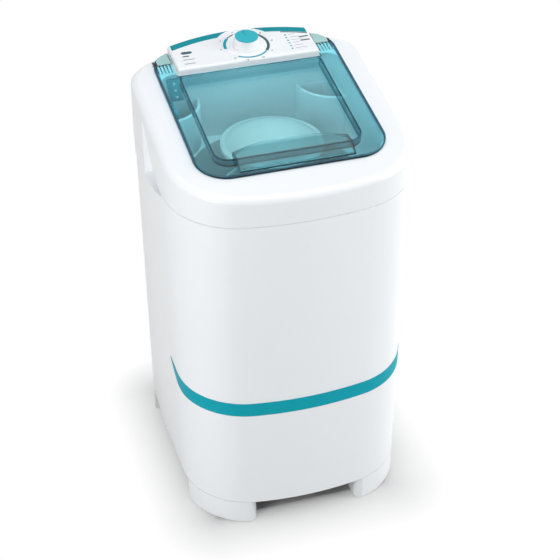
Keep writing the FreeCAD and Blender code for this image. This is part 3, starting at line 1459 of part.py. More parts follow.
# Back of the cabinet: an access panel with its screws, and the cord's gland.
panel_bow = d.rear_bow + d.pin_clearance
panel_low = d.access_low - d.access_lap
panel_tall = d.access_high - d.access_low + d.access_lap * 2
panel_half = d.access_half + d.access_lap
panel_bar = cut("panel_bar",
                cylinder("panel_outside", panel_bow + d.access_plate, panel_tall, 0, rear_face, panel_low),
                cylinder("panel_inside", panel_bow, panel_tall, 0, rear_face, panel_low))
louvres = [box("louvre", -d.access_half * 0.6, 0, d.access_high - d.access_lap * (step + 1),
               d.access_half * 1.2, FAR,
               d.access_lap / 3) for step in range(5)]
panel_piece = common("panel_piece", panel_bar, box("panel_window", -panel_half, 0, panel_low, panel_half * 2,
                                                   FAR,
                                                   panel_tall))
keep(cut("rear_panel", panel_piece, fuse("louvres", *louvres)), "rear_panel")
screw_across = d.access_half + d.access_lap / 2
screw_seat = panel_bow + d.access_plate
screw_inner = screw_across - d.screw_head
screw_back = rear_face + root(screw_seat * screw_seat - screw_inner * screw_inner)
group("rear_panel_screws", [
    cylinder("rear_panel_screw", d.screw_head, d.screw_proud, screw_across * side, screw_back + d.screw_proud,
             up,
             ALONG_X, 90)
    for side in (-1, 1) for up in (d.access_low, (d.access_low + d.access_high) / 2, d.access_high)])

gland_low = rear_at(d.gland_across) - d.gland_length / 2
gland_rim = rear_at(d.gland_across - d.gland_flange) + d.pin_clearance - gland_low
gland = turned("cord_gland", [
    (d.gland_bore, 0), (d.gland_radius, 0), (d.gland_radius, gland_rim), (d.gland_flange, gland_rim),
    (d.gland_flange, d.gland_length), (d.gland_bore, d.gland_length)])
keep(place(gland, d.gland_across, gland_low, d.gland_height, ALONG_X, -90), "cord_gland")

frame_top = d.foot_seam + d.frame_height
keep(cylinder("capacitor", d.capacitor_radius, d.capacitor_length, d.capacitor_across, d.capacitor_back,
              frame_top),
     "capacitor")
strap = new_body("capacitor_strap")
pad(strap, circles(strap, "XY_Plane", frame_top + d.capacitor_length / 3, [
    (0, 0, d.capacitor_radius + d.pad_height / 2), (0, 0, d.capacitor_radius)]), d.capacitor_length / 5)
keep(place(strap, d.capacitor_across, d.capacitor_back), "capacitor_strap")


def write_parts():
    """Checks every object of the model and writes each sub-part to its own file."""
    doc.recompute()
    failed = [item.Name for item in doc.Objects if "Invalid" in item.State or "Error" in item.State]
    for name, item in nodes:
        if item.Shape.isNull() or not item.Shape.isValid() or not item.Shape.Solids:
            failed.append(name)
    if failed:
        raise RuntimeError("failed: " + ", ".join(failed))
    os.makedirs("parts", exist_ok=True)
    for name, item in nodes:
        item.Shape.exportStep(f"parts/{name}.step")
    print(len(nodes), "sub-parts written")


write_parts()
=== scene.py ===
import json

import bpy
import numpy as np
from mathutils import Matrix, Vector


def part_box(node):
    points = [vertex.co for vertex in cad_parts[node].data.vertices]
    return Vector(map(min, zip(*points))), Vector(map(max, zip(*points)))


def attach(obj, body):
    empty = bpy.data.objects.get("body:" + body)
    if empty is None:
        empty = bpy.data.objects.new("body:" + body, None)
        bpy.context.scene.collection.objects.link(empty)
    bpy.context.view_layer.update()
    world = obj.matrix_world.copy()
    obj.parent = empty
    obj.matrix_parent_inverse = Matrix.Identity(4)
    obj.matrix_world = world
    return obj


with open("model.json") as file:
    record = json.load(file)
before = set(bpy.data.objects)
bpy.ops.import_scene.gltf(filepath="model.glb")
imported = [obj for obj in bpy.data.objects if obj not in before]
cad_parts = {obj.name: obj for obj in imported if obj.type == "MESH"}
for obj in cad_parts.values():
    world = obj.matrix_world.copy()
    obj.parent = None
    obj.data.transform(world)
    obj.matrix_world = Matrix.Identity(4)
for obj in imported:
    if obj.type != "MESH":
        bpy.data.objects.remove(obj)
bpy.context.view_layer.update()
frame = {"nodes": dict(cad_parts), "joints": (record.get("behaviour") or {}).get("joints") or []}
nodes = frame["nodes"]
joints = {joint["name"]: joint for joint in frame["joints"]}
MM = 0.001

# The lid in mm: its top lies over the hinge, and places along its slope are measured as on the lid
lid_hinge = np.array(joints["lid_hinge"]["pos_m"]) / MM
LID_SLOPE = np.radians(8.92)
HINGE_BACK = 205.0
HINGE_DROP = 8.5
LID_HALF = 195.5
LID_FRONT = -186.0
LID_REAR = 233.0
FRONT_CORNER = 60.0
REAR_CORNER = 56.0
WINDOW_HALF = 150.0
WINDOW_FRONT = -134.0
WINDOW_REAR = 205.0
WINDOW_CORNER = 30.0
# Where the painted shadow under the console starts on the window, and how far it fades in
SHADOW_STRIP_FRONT = 134.0
SHADOW_STRIP_FADE = 2.0
GRIP_FRONT = -178.0
GRIP_BACK = -92.0
GRIP_BOW = 233.6
GRIP_HALF = 118.0
along_lid = np.array([0.0, np.cos(LID_SLOPE), np.sin(LID_SLOPE)])
over_lid = np.array([0.0, -np.sin(LID_SLOPE), np.cos(LID_SLOPE)])


def on_lid(points):
    """Turns (across, back, over) in mm on the lid's top into places in metres."""
    across, back, over = np.asarray(points, float).T
    return (lid_hinge + np.outer(across, (1.0, 0.0, 0.0)) + np.outer(back - HINGE_BACK, along_lid)
            + np.outer(over + HINGE_DROP, over_lid)) * MM


def lid_depth(back):
    """The world's Y in metres of a place along the lid's top."""
    return float(on_lid([(0, back, 0)])[0, 1])


def lid_outline(half, front, rear, corner):
    """A rounded rectangle on the lid seen from above: its middle, half sizes and corner, in metres."""
    start, end = lid_depth(front), lid_depth(rear)
    return (start + end) / 2, (half * MM, (end - start) / 2), corner * MM


def tail_end(across):
    """How far back an arm of the lid reaches at places across it: the arc of the lid's rear corner."""
    corner_middle = LID_HALF - REAR_CORNER
    return LID_REAR - REAR_CORNER + np.sqrt(REAR_CORNER ** 2 - (across - corner_middle) ** 2)


LID_OUTLINE = lid_outline(LID_HALF, LID_FRONT, LID_REAR, FRONT_CORNER)
WINDOW_OUTLINE = lid_outline(WINDOW_HALF, WINDOW_FRONT, WINDOW_REAR, WINDOW_CORNER)


# Nodes that the finishes share

def new_group(name, inputs, outputs):
    """An empty shader node group with named sockets, its input node and its output node."""
    group = bpy.data.node_groups.new(name, "ShaderNodeTree")
    for label, kind, value in inputs:
        socket = group.interface.new_socket(label, in_out="INPUT", socket_type=f"NodeSocket{kind}")
        socket.default_value = value
    for label, kind in outputs:
        group.interface.new_socket(label, in_out="OUTPUT", socket_type=f"NodeSocket{kind}")
    return group, group.nodes.new("NodeGroupInput"), group.nodes.new("NodeGroupOutput")


def coordinates(tree, kind="Object"):
    """Texture coordinates: Object ones are in the piece's own metres."""
    return tree.nodes.new("ShaderNodeTexCoord").outputs[kind]


def ground_axes(tree, kind="Object"):
    """The X and the Y of the texture coordinates."""
    split = tree.nodes.new("ShaderNodeSeparateXYZ")
    tree.links.new(coordinates(tree, kind), split.inputs["Vector"])
    return split.outputs["X"], split.outputs["Y"]


def noise(tree, scale, detail):
    """Noise on Object coordinates."""
    cloud = tree.nodes.new("ShaderNodeTexNoise")
    cloud.inputs["Scale"].default_value = scale
    cloud.inputs["Detail"].default_value = detail
    cloud.inputs["Roughness"].default_value = 0.5
    tree.links.new(coordinates(tree), cloud.inputs["Vector"])
    return cloud.outputs["Fac"]


def spread(tree, source, low, high, to_low=0.0, to_high=1.0, smooth=False):
    """Stretches the range low..high of a value to to_low..to_high, clamped."""
    stretch = tree.nodes.new("ShaderNodeMapRange")
    stretch.interpolation_type = "SMOOTHSTEP" if smooth else "LINEAR"
    stretch.inputs["From Min"].default_value = low
    stretch.inputs["From Max"].default_value = high
    stretch.inputs["To Min"].default_value = to_low
    stretch.inputs["To Max"].default_value = to_high
    tree.links.new(source, stretch.inputs["Value"])
    return stretch.outputs["Result"]


def work_out(tree, operation, *values):
    """One Math node on sockets or plain numbers."""
    node = tree.nodes.new("ShaderNodeMath")
    node.operation = operation
    for socket, value in zip(node.inputs, values):
        if isinstance(value, (int, float)):
            socket.default_value = value
        else:
            tree.links.new(value, socket)
    return node.outputs["Value"]


def diagonal(tree, first, second):
    """The length across two sides at a right angle: the root of their squares added."""
    squares = [work_out(tree, "POWER", side, 2.0) for side in (first, second)]
    return work_out(tree, "SQRT", work_out(tree, "ADD", *squares))


def blend_colours(tree, factor, first, second):
    """A mix of two colours, given as sockets or as plain red, green and blue."""
    mix = tree.nodes.new("ShaderNodeMix")
    mix.data_type = "RGBA"
    tree.links.new(factor, mix.inputs["Factor"])
    for socket, value in ((mix.inputs["A"], first), (mix.inputs["B"], second)):
        if isinstance(value, tuple):
            socket.default_value = (*value, 1)
        else:
            tree.links.new(value, socket)
    return mix.outputs["Result"]


def blend_shaders(tree, factor, first, second, output):
    """Sends a mix of two shaders to the surface of an output node."""
    mix = tree.nodes.new("ShaderNodeMixShader")
    tree.links.new(factor, mix.inputs["Fac"])
    tree.links.new(first, mix.inputs[1])
    tree.links.new(second, mix.inputs[2])
    tree.links.new(mix.outputs["Shader"], tree.nodes[output].inputs["Surface"])


def raise_skin(tree, shader, height, strength, distance):
    """Bumps a shader's surface by a height."""
    bump = tree.nodes.new("ShaderNodeBump")
    bump.inputs["Strength"].default_value = strength
    bump.inputs["Distance"].default_value = distance
    tree.links.new(height, bump.inputs["Height"])
    tree.links.new(bump.outputs["Normal"], shader.inputs["Normal"])


def moulded_skin():
    """Injection-moulded plastic: slow colour drift, mottled gloss and a fine peel in the surface."""
    group, given, made = new_group(
        "moulded_skin",
        [("Colour", "Color", (0.8, 0.8, 0.8, 1)), ("Drift", "Color", (0.7, 0.7, 0.7, 1)),
         ("Gloss", "Float", 0.3), ("Mottle", "Float", 0.05)],
        [("Colour", "Color"), ("Roughness", "Float"), ("Height", "Float")])
    drift = spread(group, noise(group, scale=4.0, detail=3.0), 0.35, 0.65)
    colour = blend_colours(group, drift, given.outputs["Colour"], given.outputs["Drift"])
    mottle = spread(group, noise(group, scale=40.0, detail=3.0), 0.3, 0.7, to_low=-1.0, to_high=1.0)
    gloss = work_out(group, "MULTIPLY_ADD", mottle, given.outputs["Mottle"], given.outputs["Gloss"])
    group.links.new(colour, made.inputs["Colour"])
    group.links.new(gloss, made.inputs["Roughness"])
    group.links.new(noise(group, scale=240.0, detail=1.0), made.inputs["Height"])
    return group


MOULDED = moulded_skin()


# Finishes

# Colours of the clear plastic with the painted shade of its edges, how far that painted shade fades in
# metres, and how much of the shade colour each mark takes
CLEAR_BODY = (0.97, 0.99, 0.99)
CLEAR_EDGE_SHADE = (0.03, 0.19, 0.26)
GRIP_BODY = (0.80, 0.88, 0.89)
GRIP_EDGE_SHADE = (0.06, 0.24, 0.31)
CLEAR_SHADOW = (0.79, 0.86, 0.885)
RIM_SHADE_FADE = (-7.5 * MM, -4.0 * MM)
SILL_SHADE_FADE = (1.2 * MM, 3.2 * MM)
GRIP_SHADE_FADE = (1.5 * MM, 3.5 * MM)
SILL_SHADE_SHARE = 0.8
STRIP_SHADOW_SHARE = 0.22
GRIP_SHADE_SHARE = 0.9

# The width of one wave of a wave texture at scale 1
WAVE_PERIOD = 0.314


def new_material(name):
    """A material with its Principled BSDF."""
    material = bpy.data.materials.new(name)
    material.use_nodes = True
    return material, material.node_tree, material.node_tree.nodes["Principled BSDF"]


def moulded(name, colour, drift, gloss, mottle=0.03, peel=0.05, coat=0.0, metal=0.0, shine=0.5):
    """A moulded, painted or plated finish from the shared skin group."""
    material, tree, shader = new_material(name)
    skin = tree.nodes.new("ShaderNodeGroup")
    skin.node_tree = MOULDED
    skin.inputs["Colour"].default_value = (*colour, 1)
    skin.inputs["Drift"].default_value = (*drift, 1)
    skin.inputs["Gloss"].default_value = gloss
    skin.inputs["Mottle"].default_value = mottle
    tree.links.new(skin.outputs["Colour"], shader.inputs["Base Color"])
    tree.links.new(skin.outputs["Roughness"], shader.inputs["Roughness"])
    raise_skin(tree, shader, skin.outputs["Height"], strength=peel, distance=0.2 * MM)
    shader.inputs["Coat Weight"].default_value = coat
    shader.inputs["Coat Roughness"].default_value = 0.1
    shader.inputs["Metallic"].default_value = metal
    shader.inputs["Specular IOR Level"].default_value = shine
    return material


def outline_distance(tree, middle, half, corner):
    """How far a point lies outside a rounded rectangle seen from above, less than 0 inside it.

    It is the length past the rectangle that the corners' middles make, less the corner's radius.
    """
    across, back = ground_axes(tree)
    ways = (across, work_out(tree, "SUBTRACT", back, middle))
    past = [work_out(tree, "SUBTRACT", work_out(tree, "ABSOLUTE", way), reach - corner)
            for way, reach in zip(ways, half)]
    outside = diagonal(tree, *(work_out(tree, "MAXIMUM", way, 0.0) for way in past))
    inside = work_out(tree, "MINIMUM", work_out(tree, "MAXIMUM", *past), 0.0)
    return work_out(tree, "SUBTRACT", work_out(tree, "ADD", outside, inside), corner)


def rear_strip(tree):
    """Painted shadow: a darker strip of the window just in front of the console, between the window's sides,
    where the console overhangs it.
    """
    across, back = ground_axes(tree)
    start = lid_depth(SHADOW_STRIP_FRONT)
    behind = spread(tree, back, start, start + SHADOW_STRIP_FADE * MM, to_low=0.0, to_high=STRIP_SHADOW_SHARE)
    sides = ((WINDOW_HALF - SHADOW_STRIP_FADE) * MM, WINDOW_HALF * MM)
    beside = spread(tree, work_out(tree, "ABSOLUTE", across), *sides, to_low=1.0, to_high=0.0)
    return work_out(tree, "MULTIPLY", behind, beside)


def dark_edges(tree):
    """The lid's colour with painted shade: darker at its outline and round its sunk window, as thick clear
    edges look, and in the strip at its rear, a painted shadow under the console.
    """
    rim = spread(tree, outline_distance(tree, *LID_OUTLINE), *RIM_SHADE_FADE, smooth=True)
    step = work_out(tree, "ABSOLUTE", outline_distance(tree, *WINDOW_OUTLINE))
    sill = spread(tree, step, *SILL_SHADE_FADE, to_low=SILL_SHADE_SHARE, to_high=0.0, smooth=True)
    edge_shade = work_out(tree, "MAXIMUM", work_out(tree, "MAXIMUM", rim, sill), rear_strip(tree))
    return blend_colours(tree, edge_shade, CLEAR_BODY, CLEAR_EDGE_SHADE)


def grip_edges(tree):
    """The grip's colour with painted shade: darker by its arched back, its ends and its front, whichever is
    nearest, as its thick clear edges look.
    """
    across, back = ground_axes(tree)
    behind = work_out(tree, "SUBTRACT", back, lid_depth(GRIP_BACK - GRIP_BOW))
    arch = work_out(tree, "SUBTRACT", GRIP_BOW * MM, diagonal(tree, across, behind))
    side = work_out(tree, "SUBTRACT", GRIP_HALF * MM, work_out(tree, "ABSOLUTE", across))
    front = work_out(tree, "SUBTRACT", back, lid_depth(GRIP_FRONT))
    least = work_out(tree, "MINIMUM", work_out(tree, "MINIMUM", arch, side), front)
    edge_shade = spread(tree, least, *GRIP_SHADE_FADE, to_low=GRIP_SHADE_SHARE, to_high=0.0, smooth=True)
    return blend_colours(tree, edge_shade, GRIP_BODY, GRIP_EDGE_SHADE)


def clear_moulding(name, tint, density, gloss, edges):
    """Clear plastic: light that passes is tinted by the thickness it crosses, and shadows stay light."""
    material, tree, shader = new_material(name)
    # The base colour carries painted shade at the edges, where thick clear edges and steps look dark
    tree.links.new(edges(tree), shader.inputs["Base Color"])
    shader.inputs["Transmission Weight"].default_value = 1.0
    shader.inputs["IOR"].default_value = 1.4
    mottle = noise(tree, scale=35.0, detail=3.0)
    rough = spread(tree, mottle, 0.3, 0.7, to_low=gloss, to_high=gloss + 0.04)
    tree.links.new(rough, shader.inputs["Roughness"])
    shadow = tree.nodes.new("ShaderNodeBsdfTransparent")
    shadow.inputs["Color"].default_value = (*CLEAR_SHADOW, 1)
    path = tree.nodes.new("ShaderNodeLightPath")
    blend_shaders(tree, path.outputs["Is Shadow Ray"], shader.outputs["BSDF"], shadow.outputs["BSDF"],
                  "Material Output")
    soak = tree.nodes.new("ShaderNodeVolumeAbsorption")
    soak.inputs["Color"].default_value = (*tint, 1)
    soak.inputs["Density"].default_value = density
    tree.links.new(soak.outputs["Volume"], tree.nodes["Material Output"].inputs["Volume"])
    return material


def woven(name, thread, hole_shade, pitch):
    """Filter net: two crossed waves of threads, with painted shade between them for the holes, and the
    threads standing proud.
    """
    material, tree, shader = new_material(name)
    place = coordinates(tree)
    waves = []
    for axis in ("Y", "Z"):
        wave = tree.nodes.new("ShaderNodeTexWave")
        wave.bands_direction = axis
        wave.inputs["Scale"].default_value = WAVE_PERIOD / pitch
        tree.links.new(place, wave.inputs["Vector"])
        waves.append(wave.outputs["Fac"])
    threads = work_out(tree, "MAXIMUM", *waves)
    colour = blend_colours(tree, spread(tree, threads, 0.45, 0.75), hole_shade, thread)
    tree.links.new(colour, shader.inputs["Base Color"])
    raise_skin(tree, shader, threads, strength=0.4, distance=0.3 * MM)
    shader.inputs["Roughness"].default_value = 0.6
    return material


WHITE = moulded("white_moulding", (0.85, 0.865, 0.88), (0.84, 0.856, 0.873), 0.34,
                mottle=0.012, peel=0.004, coat=0.1)
TEAL = moulded("teal_trim", (0.004, 0.35, 0.41), (0.005, 0.34, 0.44), 0.5,
               mottle=0.02, peel=0.01, shine=0.1)
INK = moulded("dark_print", (0.012, 0.06, 0.085), (0.016, 0.07, 0.095), 0.4, peel=0.02)
PALE_INK = moulded("grey_print", (0.42, 0.46, 0.48), (0.38, 0.42, 0.44), 0.4, peel=0.02)
CLEAR = clear_moulding("clear_teal", (0.10, 0.73, 0.80), 150.0, 0.01, dark_edges)
FROSTED = clear_moulding("frosted_teal", (0.10, 0.66, 0.71), 290.0, 0.08, grip_edges)
TUB_WHITE = moulded("tub_white", (0.80, 0.84, 0.85), (0.77, 0.815, 0.83), 0.34)
# A darker, greyer copy of the tub's white: partly the cap's own grey-white tone, partly painted shade that
# keeps the upturned dome from lighting brighter than the tub
CAP_SHADED_WHITE = moulded("cap_white", (0.62, 0.62, 0.60), (0.58, 0.585, 0.575), 0.22,
                    mottle=0.008, peel=0.002, coat=0.4)
ARM_END = moulded("pale_arm_end", (0.33, 0.55, 0.54), (0.38, 0.59, 0.575), 0.4, peel=0.02, shine=0.3)
KNOB_TEAL = moulded("knob_teal", (0.03, 0.44, 0.50), (0.02, 0.42, 0.50), 0.4,
                    mottle=0.02, peel=0.01, shine=0.2)
BAND_TEAL = moulded("band_teal", (0.004, 0.265, 0.30), (0.005, 0.26, 0.315), 0.5,
                    mottle=0.02, peel=0.01, shine=0.1)
DIAL = moulded("dial_print", (0.86, 0.875, 0.89), (0.84, 0.855, 0.87), 0.32)
MESH = woven("filter_mesh", (0.66, 0.76, 0.77), (0.10, 0.22, 0.24), 1.2 * MM)
GASKET = moulded("grey_rubber", (0.34, 0.37, 0.38), (0.30, 0.33, 0.34), 0.7, peel=0.2)
RUBBER = moulded("black_rubber", (0.018, 0.018, 0.019), (0.03, 0.03, 0.031), 0.75, peel=0.25)
STEEL = moulded("bright_steel", (0.56, 0.57, 0.58), (0.5, 0.51, 0.53), 0.28, metal=1.0)
ZINC = moulded("zinc_steel", (0.6, 0.61, 0.62), (0.5, 0.52, 0.55), 0.42, metal=1.0)
CAST = moulded("cast_aluminium", (0.52, 0.53, 0.54), (0.46, 0.47, 0.48), 0.55, peel=0.4, metal=1.0)
BRONZE = moulded("bearing_bronze", (0.45, 0.29, 0.13), (0.38, 0.24, 0.11), 0.4, metal=1.0)
MOTOR_PAINT = moulded("motor_paint", (0.05, 0.055, 0.06), (0.04, 0.043, 0.047), 0.45, peel=0.2)
BLACK = moulded("black_plastic", (0.02, 0.02, 0.021), (0.027, 0.027, 0.028), 0.45, peel=0.2)
GREY = moulded("capacitor_grey", (0.5, 0.51, 0.52), (0.45, 0.46, 0.475), 0.5)

FINISHES = {
    WHITE: ["cabinet", "foot_front_left", "foot_front_right", "foot_rear_left", "foot_rear_right",
            "top_cover", "console_housing", "knob", "rear_panel"],
    CLEAR: ["lid_panel"],
    FROSTED: ["lid_grip"],
    TEAL: ["front_stripe", "lint_filter"],
    KNOB_TEAL: ["knob_cap"],
    DIAL: ["dial_scale"],
    TUB_WHITE: ["tub", "left_pocket", "right_pocket", "agitator"],
    CAP_SHADED_WHITE: ["agitator_cap"],
    MESH: ["lint_mesh"],
    GASKET: ["tub_gasket"],
    RUBBER: ["foot_pads", "shaft_seal", "drive_belt", "motor_grommets"],
    STEEL: ["hinge_pins", "drive_shaft", "agitator_bolt", "motor_shaft", "timer_spindle", "drain_strainer",
            "foot_screws", "bearing_bolts", "pulley_nut", "motor_bolts", "rear_panel_screws"],
    ZINC: ["timer_bracket", "motor_bracket", "capacitor_strap"],
    CAST: ["bearing_housing", "driven_pulley", "motor_pulley"],
    BRONZE: ["lower_bush", "upper_bush"],
    MOTOR_PAINT: ["motor_body", "motor_rotor"],
    BLACK: ["timer_body", "drain_pipe", "drain_spigot", "base_frame", "cord_gland"],
    GREY: ["capacitor"],
}
for finish, names in FINISHES.items():
    for name in names:
        slots = nodes[name].data.materials
        slots.clear()
        slots.append(finish)


# Shapes worked out as arrays of points and faces

def put(name, points, faces, finish, body, smooth=False):
    """Puts points in metres and their faces into a named piece that rides on a body."""
    mesh = bpy.data.meshes.new(name)
    mesh.from_pydata(np.asarray(points).tolist(), [], [list(face) for face in faces])
    mesh.materials.append(finish)
    mesh.polygons.foreach_set("use_smooth", np.full(len(mesh.polygons), smooth))
    mesh.update()
    piece = bpy.data.objects.new(name, mesh)
    bpy.context.scene.collection.objects.link(piece)
    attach(piece, body)


def gather(shapes):
    """Joins (points, faces) shapes into one, with each shape's faces moved past the points before it."""
    starts = np.cumsum([0] + [len(points) for points, _ in shapes[:-1]])
    points = np.concatenate([points for points, _ in shapes])
    faces = [tuple(int(corner + start) for corner in face)
             for start, (_, faces) in zip(starts, shapes) for face in faces]
    return points, faces


def turned(faces):
    """The same faces, looking the other way."""
    return [face[::-1] for face in faces]


def two_layers(over, under):
    """A closed plate from two grids of points: the outer one, the inner one turned round, and rim walls."""
    rows, count = over.shape[:2]
    index = np.arange(rows * count).reshape(rows, count)
    quads = np.stack([index[:-1, :-1], index[:-1, 1:], index[1:, 1:], index[1:, :-1]], -1).reshape(-1, 4)
    rim = np.concatenate([index[0], index[1:, -1], index[-1, -2::-1], index[-2:0:-1, 0]])
    ahead = np.roll(rim, -1)
    below = rows * count
    walls = np.stack([rim, rim + below, ahead + below, ahead], -1)
    faces = np.concatenate([quads, quads[:, ::-1] + below, walls]).tolist()
    return np.concatenate([over.reshape(-1, 3), under.reshape(-1, 3)]), faces


def strip(low, high, base, top):
    """A flat plate between two curves: the four corners of its section carried along both curves."""
    corners = ((low, base), (high, base), (high, top), (low, top))
    ring = np.stack([np.c_[curve, np.full(len(curve), level)] for curve, level in corners], 1)
    index = np.arange(len(low) * len(corners)).reshape(-1, len(corners))
    ahead = np.roll(index, -1, axis=1)
    sides = np.stack([index[:-1], index[1:], ahead[1:], ahead[:-1]], -1).reshape(-1, 4)
    faces = np.concatenate([sides, index[:1], index[-1:, ::-1]])
    return ring.reshape(-1, 3), faces.tolist()


def dot(across, back, radius, base, top, count=20):
    """A low round button: a profile of three rings about an upright axis, closed at both middles."""
    shoulder = base + (top - base) * 0.6
    crown = radius * 0.8
    rings = [(radius, base), (radius, shoulder), (crown, top)]
    angle = np.linspace(0, 2 * np.pi, count, endpoint=False)
    wall = [np.c_[across + r * np.cos(angle), back + r * np.sin(angle), np.full(count, h)] for r, h in rings]
    points = np.concatenate([*wall, [(across, back, base), (across, back, top)]])
    index = np.arange(len(rings) * count).reshape(len(rings), count)
    ahead = np.roll(index, -1, axis=1)
    sides = np.stack([index[:-1], ahead[:-1], ahead[1:], index[1:]], -1).reshape(-1, 4).tolist()
    under = np.stack([ahead[0], index[0], np.full(count, len(points) - 2)], -1).tolist()
    over = np.stack([index[-1], ahead[-1], np.full(count, len(points) - 1)], -1).tolist()
    return points, sides + under + over


# Console print, in mm from the dial's middle

dial_middle = np.array(joints["knob_turn"]["pos_m"])
panel_up = np.array(joints["knob_turn"]["axis"])
panel_back = np.cross(panel_up, (1.0, 0.0, 0.0))
FILM = 0.15
FLAT = (-0.2, FILM)
RING_BASE = 0.05
RING_TOP = 0.8 + FILM
REAR_BOW = 420.0
PANEL_ROUND = 5.0
PANEL_HALF = 147.0
BAND_WIDTH = 20.5
BAND_DEPTH = 0.4
BAND_ROLL = np.radians([0, 20, 40, 60, 74])
DIAL_WINDOW = 66.0
bow_middle = np.array([-8.5, 65.0 - REAR_BOW])
dial_reach = np.hypot(*bow_middle)
dial_bearing = np.arctan2(*-bow_middle)

# Arcs: start and end in degrees, inner and outer radius
TEAL_ARCS = [(186, 136, 42.5, 48.5), (108, 62, 45.5, 47.5), (-42, -127, 45.0, 48.0)]
DARK_ARCS = [(134, 110, 45.0, 48.0), (60, -40, 43.0, 49.0)]
MINUTES = range(0, 20, 2)
MINUTE_ANGLES = (184, 150, 106, 71, 42, 4, -35, -68, -104, -131)

# Bars: left end, right end, place towards the back, width
LEFT_BARS = [(-140.5, -117.0, 2.0, 9.0), (-140.5, -126.0, -10.5, 3.6)]
RIGHT_BARS = [(115.5, 136.5, 3.0, 4.0), (115.0, 136.0, -10.5, 4.0)]
LIST_ROWS = [17.0 - 10.6 * row for row in range(6)]
GREY_BARS = [(-142.5, -117.5, -23.0, 3.4), (-143.0, -119.0, -38.0, 3.4)]
LIST_BARS = [(97.0, 111.0 + 6.0 * (row % 3), back, 1.6) for row, back in enumerate(LIST_ROWS)]


def on_panel(points):
    """Turns (across, back, over) in mm from the dial's middle into places on the console, in metres."""
    across, back, over = np.asarray(points, float).T * MM
    return (dial_middle + np.outer(across, (1.0, 0.0, 0.0)) + np.outer(back, panel_back)
            + np.outer(over, panel_up))


def panel_print(name, shapes, finish):
    """Puts shapes in the console's own mm on the machine as one piece."""
    points, faces = gather(shapes)
    put(name, on_panel(points), faces, finish, "machine")


def rear_band(side):
    """Half of the band along the console's bowed rear edge.

    Each row is an arc about the bow's middle, and the last rows roll over the panel's rounded rim. Towards
    the dial a row ends where it meets the round window about the dial; at the other end it stops at the
    panel's side.
    """
    flat_end = REAR_BOW - PANEL_ROUND
    rolled = PANEL_ROUND + FILM
    flat_rows = np.linspace(REAR_BOW - BAND_WIDTH, flat_end, 5)[:-1]
    radius = np.concatenate([flat_rows, flat_end + rolled * np.sin(BAND_ROLL)])[:, None]
    height = np.concatenate([np.full(len(flat_rows), FILM), rolled * np.cos(BAND_ROLL) - PANEL_ROUND])
    meeting = (radius ** 2 + dial_reach ** 2 - DIAL_WINDOW ** 2) / (2 * radius * dial_reach)
    start = dial_bearing + side * np.arccos(np.clip(meeting, -1, 1))
    end = np.arcsin(side * PANEL_HALF / radius)
    bearing = start + (end - start) * np.linspace(0, 1, 33)
    over = np.stack([bow_middle[0] + radius * np.sin(bearing), bow_middle[1] + radius * np.cos(bearing),
                     np.broadcast_to(height[:, None], bearing.shape)], -1)
    points, faces = two_layers(over, over - (0, 0, BAND_DEPTH))
    return points, faces if side > 0 else turned(faces)


def ring_part(start, end, inner, outer):
    """Part of the dial's ring: two arcs about the dial's middle, clockwise, in degrees from the right."""
    angle = np.radians(np.linspace(start, end, 40))
    way = np.c_[np.cos(angle), np.sin(angle)]
    return strip(way * inner, way * outer, RING_BASE, RING_TOP)


def under_band(start, end, low, high):
    """A thin arc just in front of the rear band, between two places across the panel."""
    across = np.linspace(start, end, 20)
    reach = across - bow_middle[0]
    curves = [np.c_[across, bow_middle[1] + np.sqrt((REAR_BOW - drop) ** 2 - reach ** 2)]
              for drop in (high, low)]
    return strip(*curves, *FLAT)


def bar(left, right, back, width):
    """A flat bar with rounded ends: its half width follows a half circle near each end."""
    reach = width / 2
    bend = np.cos(np.linspace(0.25, np.pi / 2, 6)) * reach
    way = np.concatenate([left + reach - bend, right - reach + bend[::-1]])
    end = np.maximum(left + reach - way, 0) + np.maximum(way - right + reach, 0)
    half = np.sqrt(reach ** 2 - np.minimum(end, reach * 0.97) ** 2)
    return strip(np.c_[way, back - half], np.c_[way, back + half], *FLAT)


def dial_figures(values, angles, radius, size):
    """Plain minute figures: each is made a mesh, then moved to its angle on the dial."""
    shapes = []
    for value, angle in zip(values, np.radians(angles)):
        words = bpy.data.curves.new("figure", "FONT")
        words.body = str(value)
        words.size = size
        words.align_x = "CENTER"
        words.align_y = "CENTER"
        words.extrude = FILM
        carrier = bpy.data.objects.new("figure", words)
        mesh = bpy.data.meshes.new_from_object(carrier)
        points = np.zeros(len(mesh.vertices) * 3)
        mesh.vertices.foreach_get("co", points)
        points = points.reshape(-1, 3) + (radius * np.cos(angle), radius * np.sin(angle), RING_BASE)
        shapes.append((points, [tuple(face.vertices) for face in mesh.polygons]))
        bpy.data.objects.remove(carrier)
        bpy.data.meshes.remove(mesh)
        bpy.data.curves.remove(words)
    return shapes


panel_print("console_band", [rear_band(-1), rear_band(1)], BAND_TEAL)
panel_print("dial_ring", [ring_part(*arc) for arc in TEAL_ARCS], TEAL)
panel_print("dial_ring_dark", [ring_part(*arc) for arc in DARK_ARCS], INK)
panel_print("dial_figures", dial_figures(MINUTES, MINUTE_ANGLES, radius=56.0, size=6.5), INK)
panel_print("panel_bars", [*(bar(*place) for place in LEFT_BARS),
                           under_band(start=84.0, end=138.0, low=21.5, high=24.5),
                           *(bar(*place) for place in RIGHT_BARS)], INK)
panel_print("panel_lines", [bar(*place) for place in GREY_BARS + LIST_BARS], PALE_INK)
panel_print("panel_dots", [dot(90.0, back, 2.3, *FLAT) for back in LIST_ROWS], TEAL)


# Small mouldings of the filter and the hinge, in mm

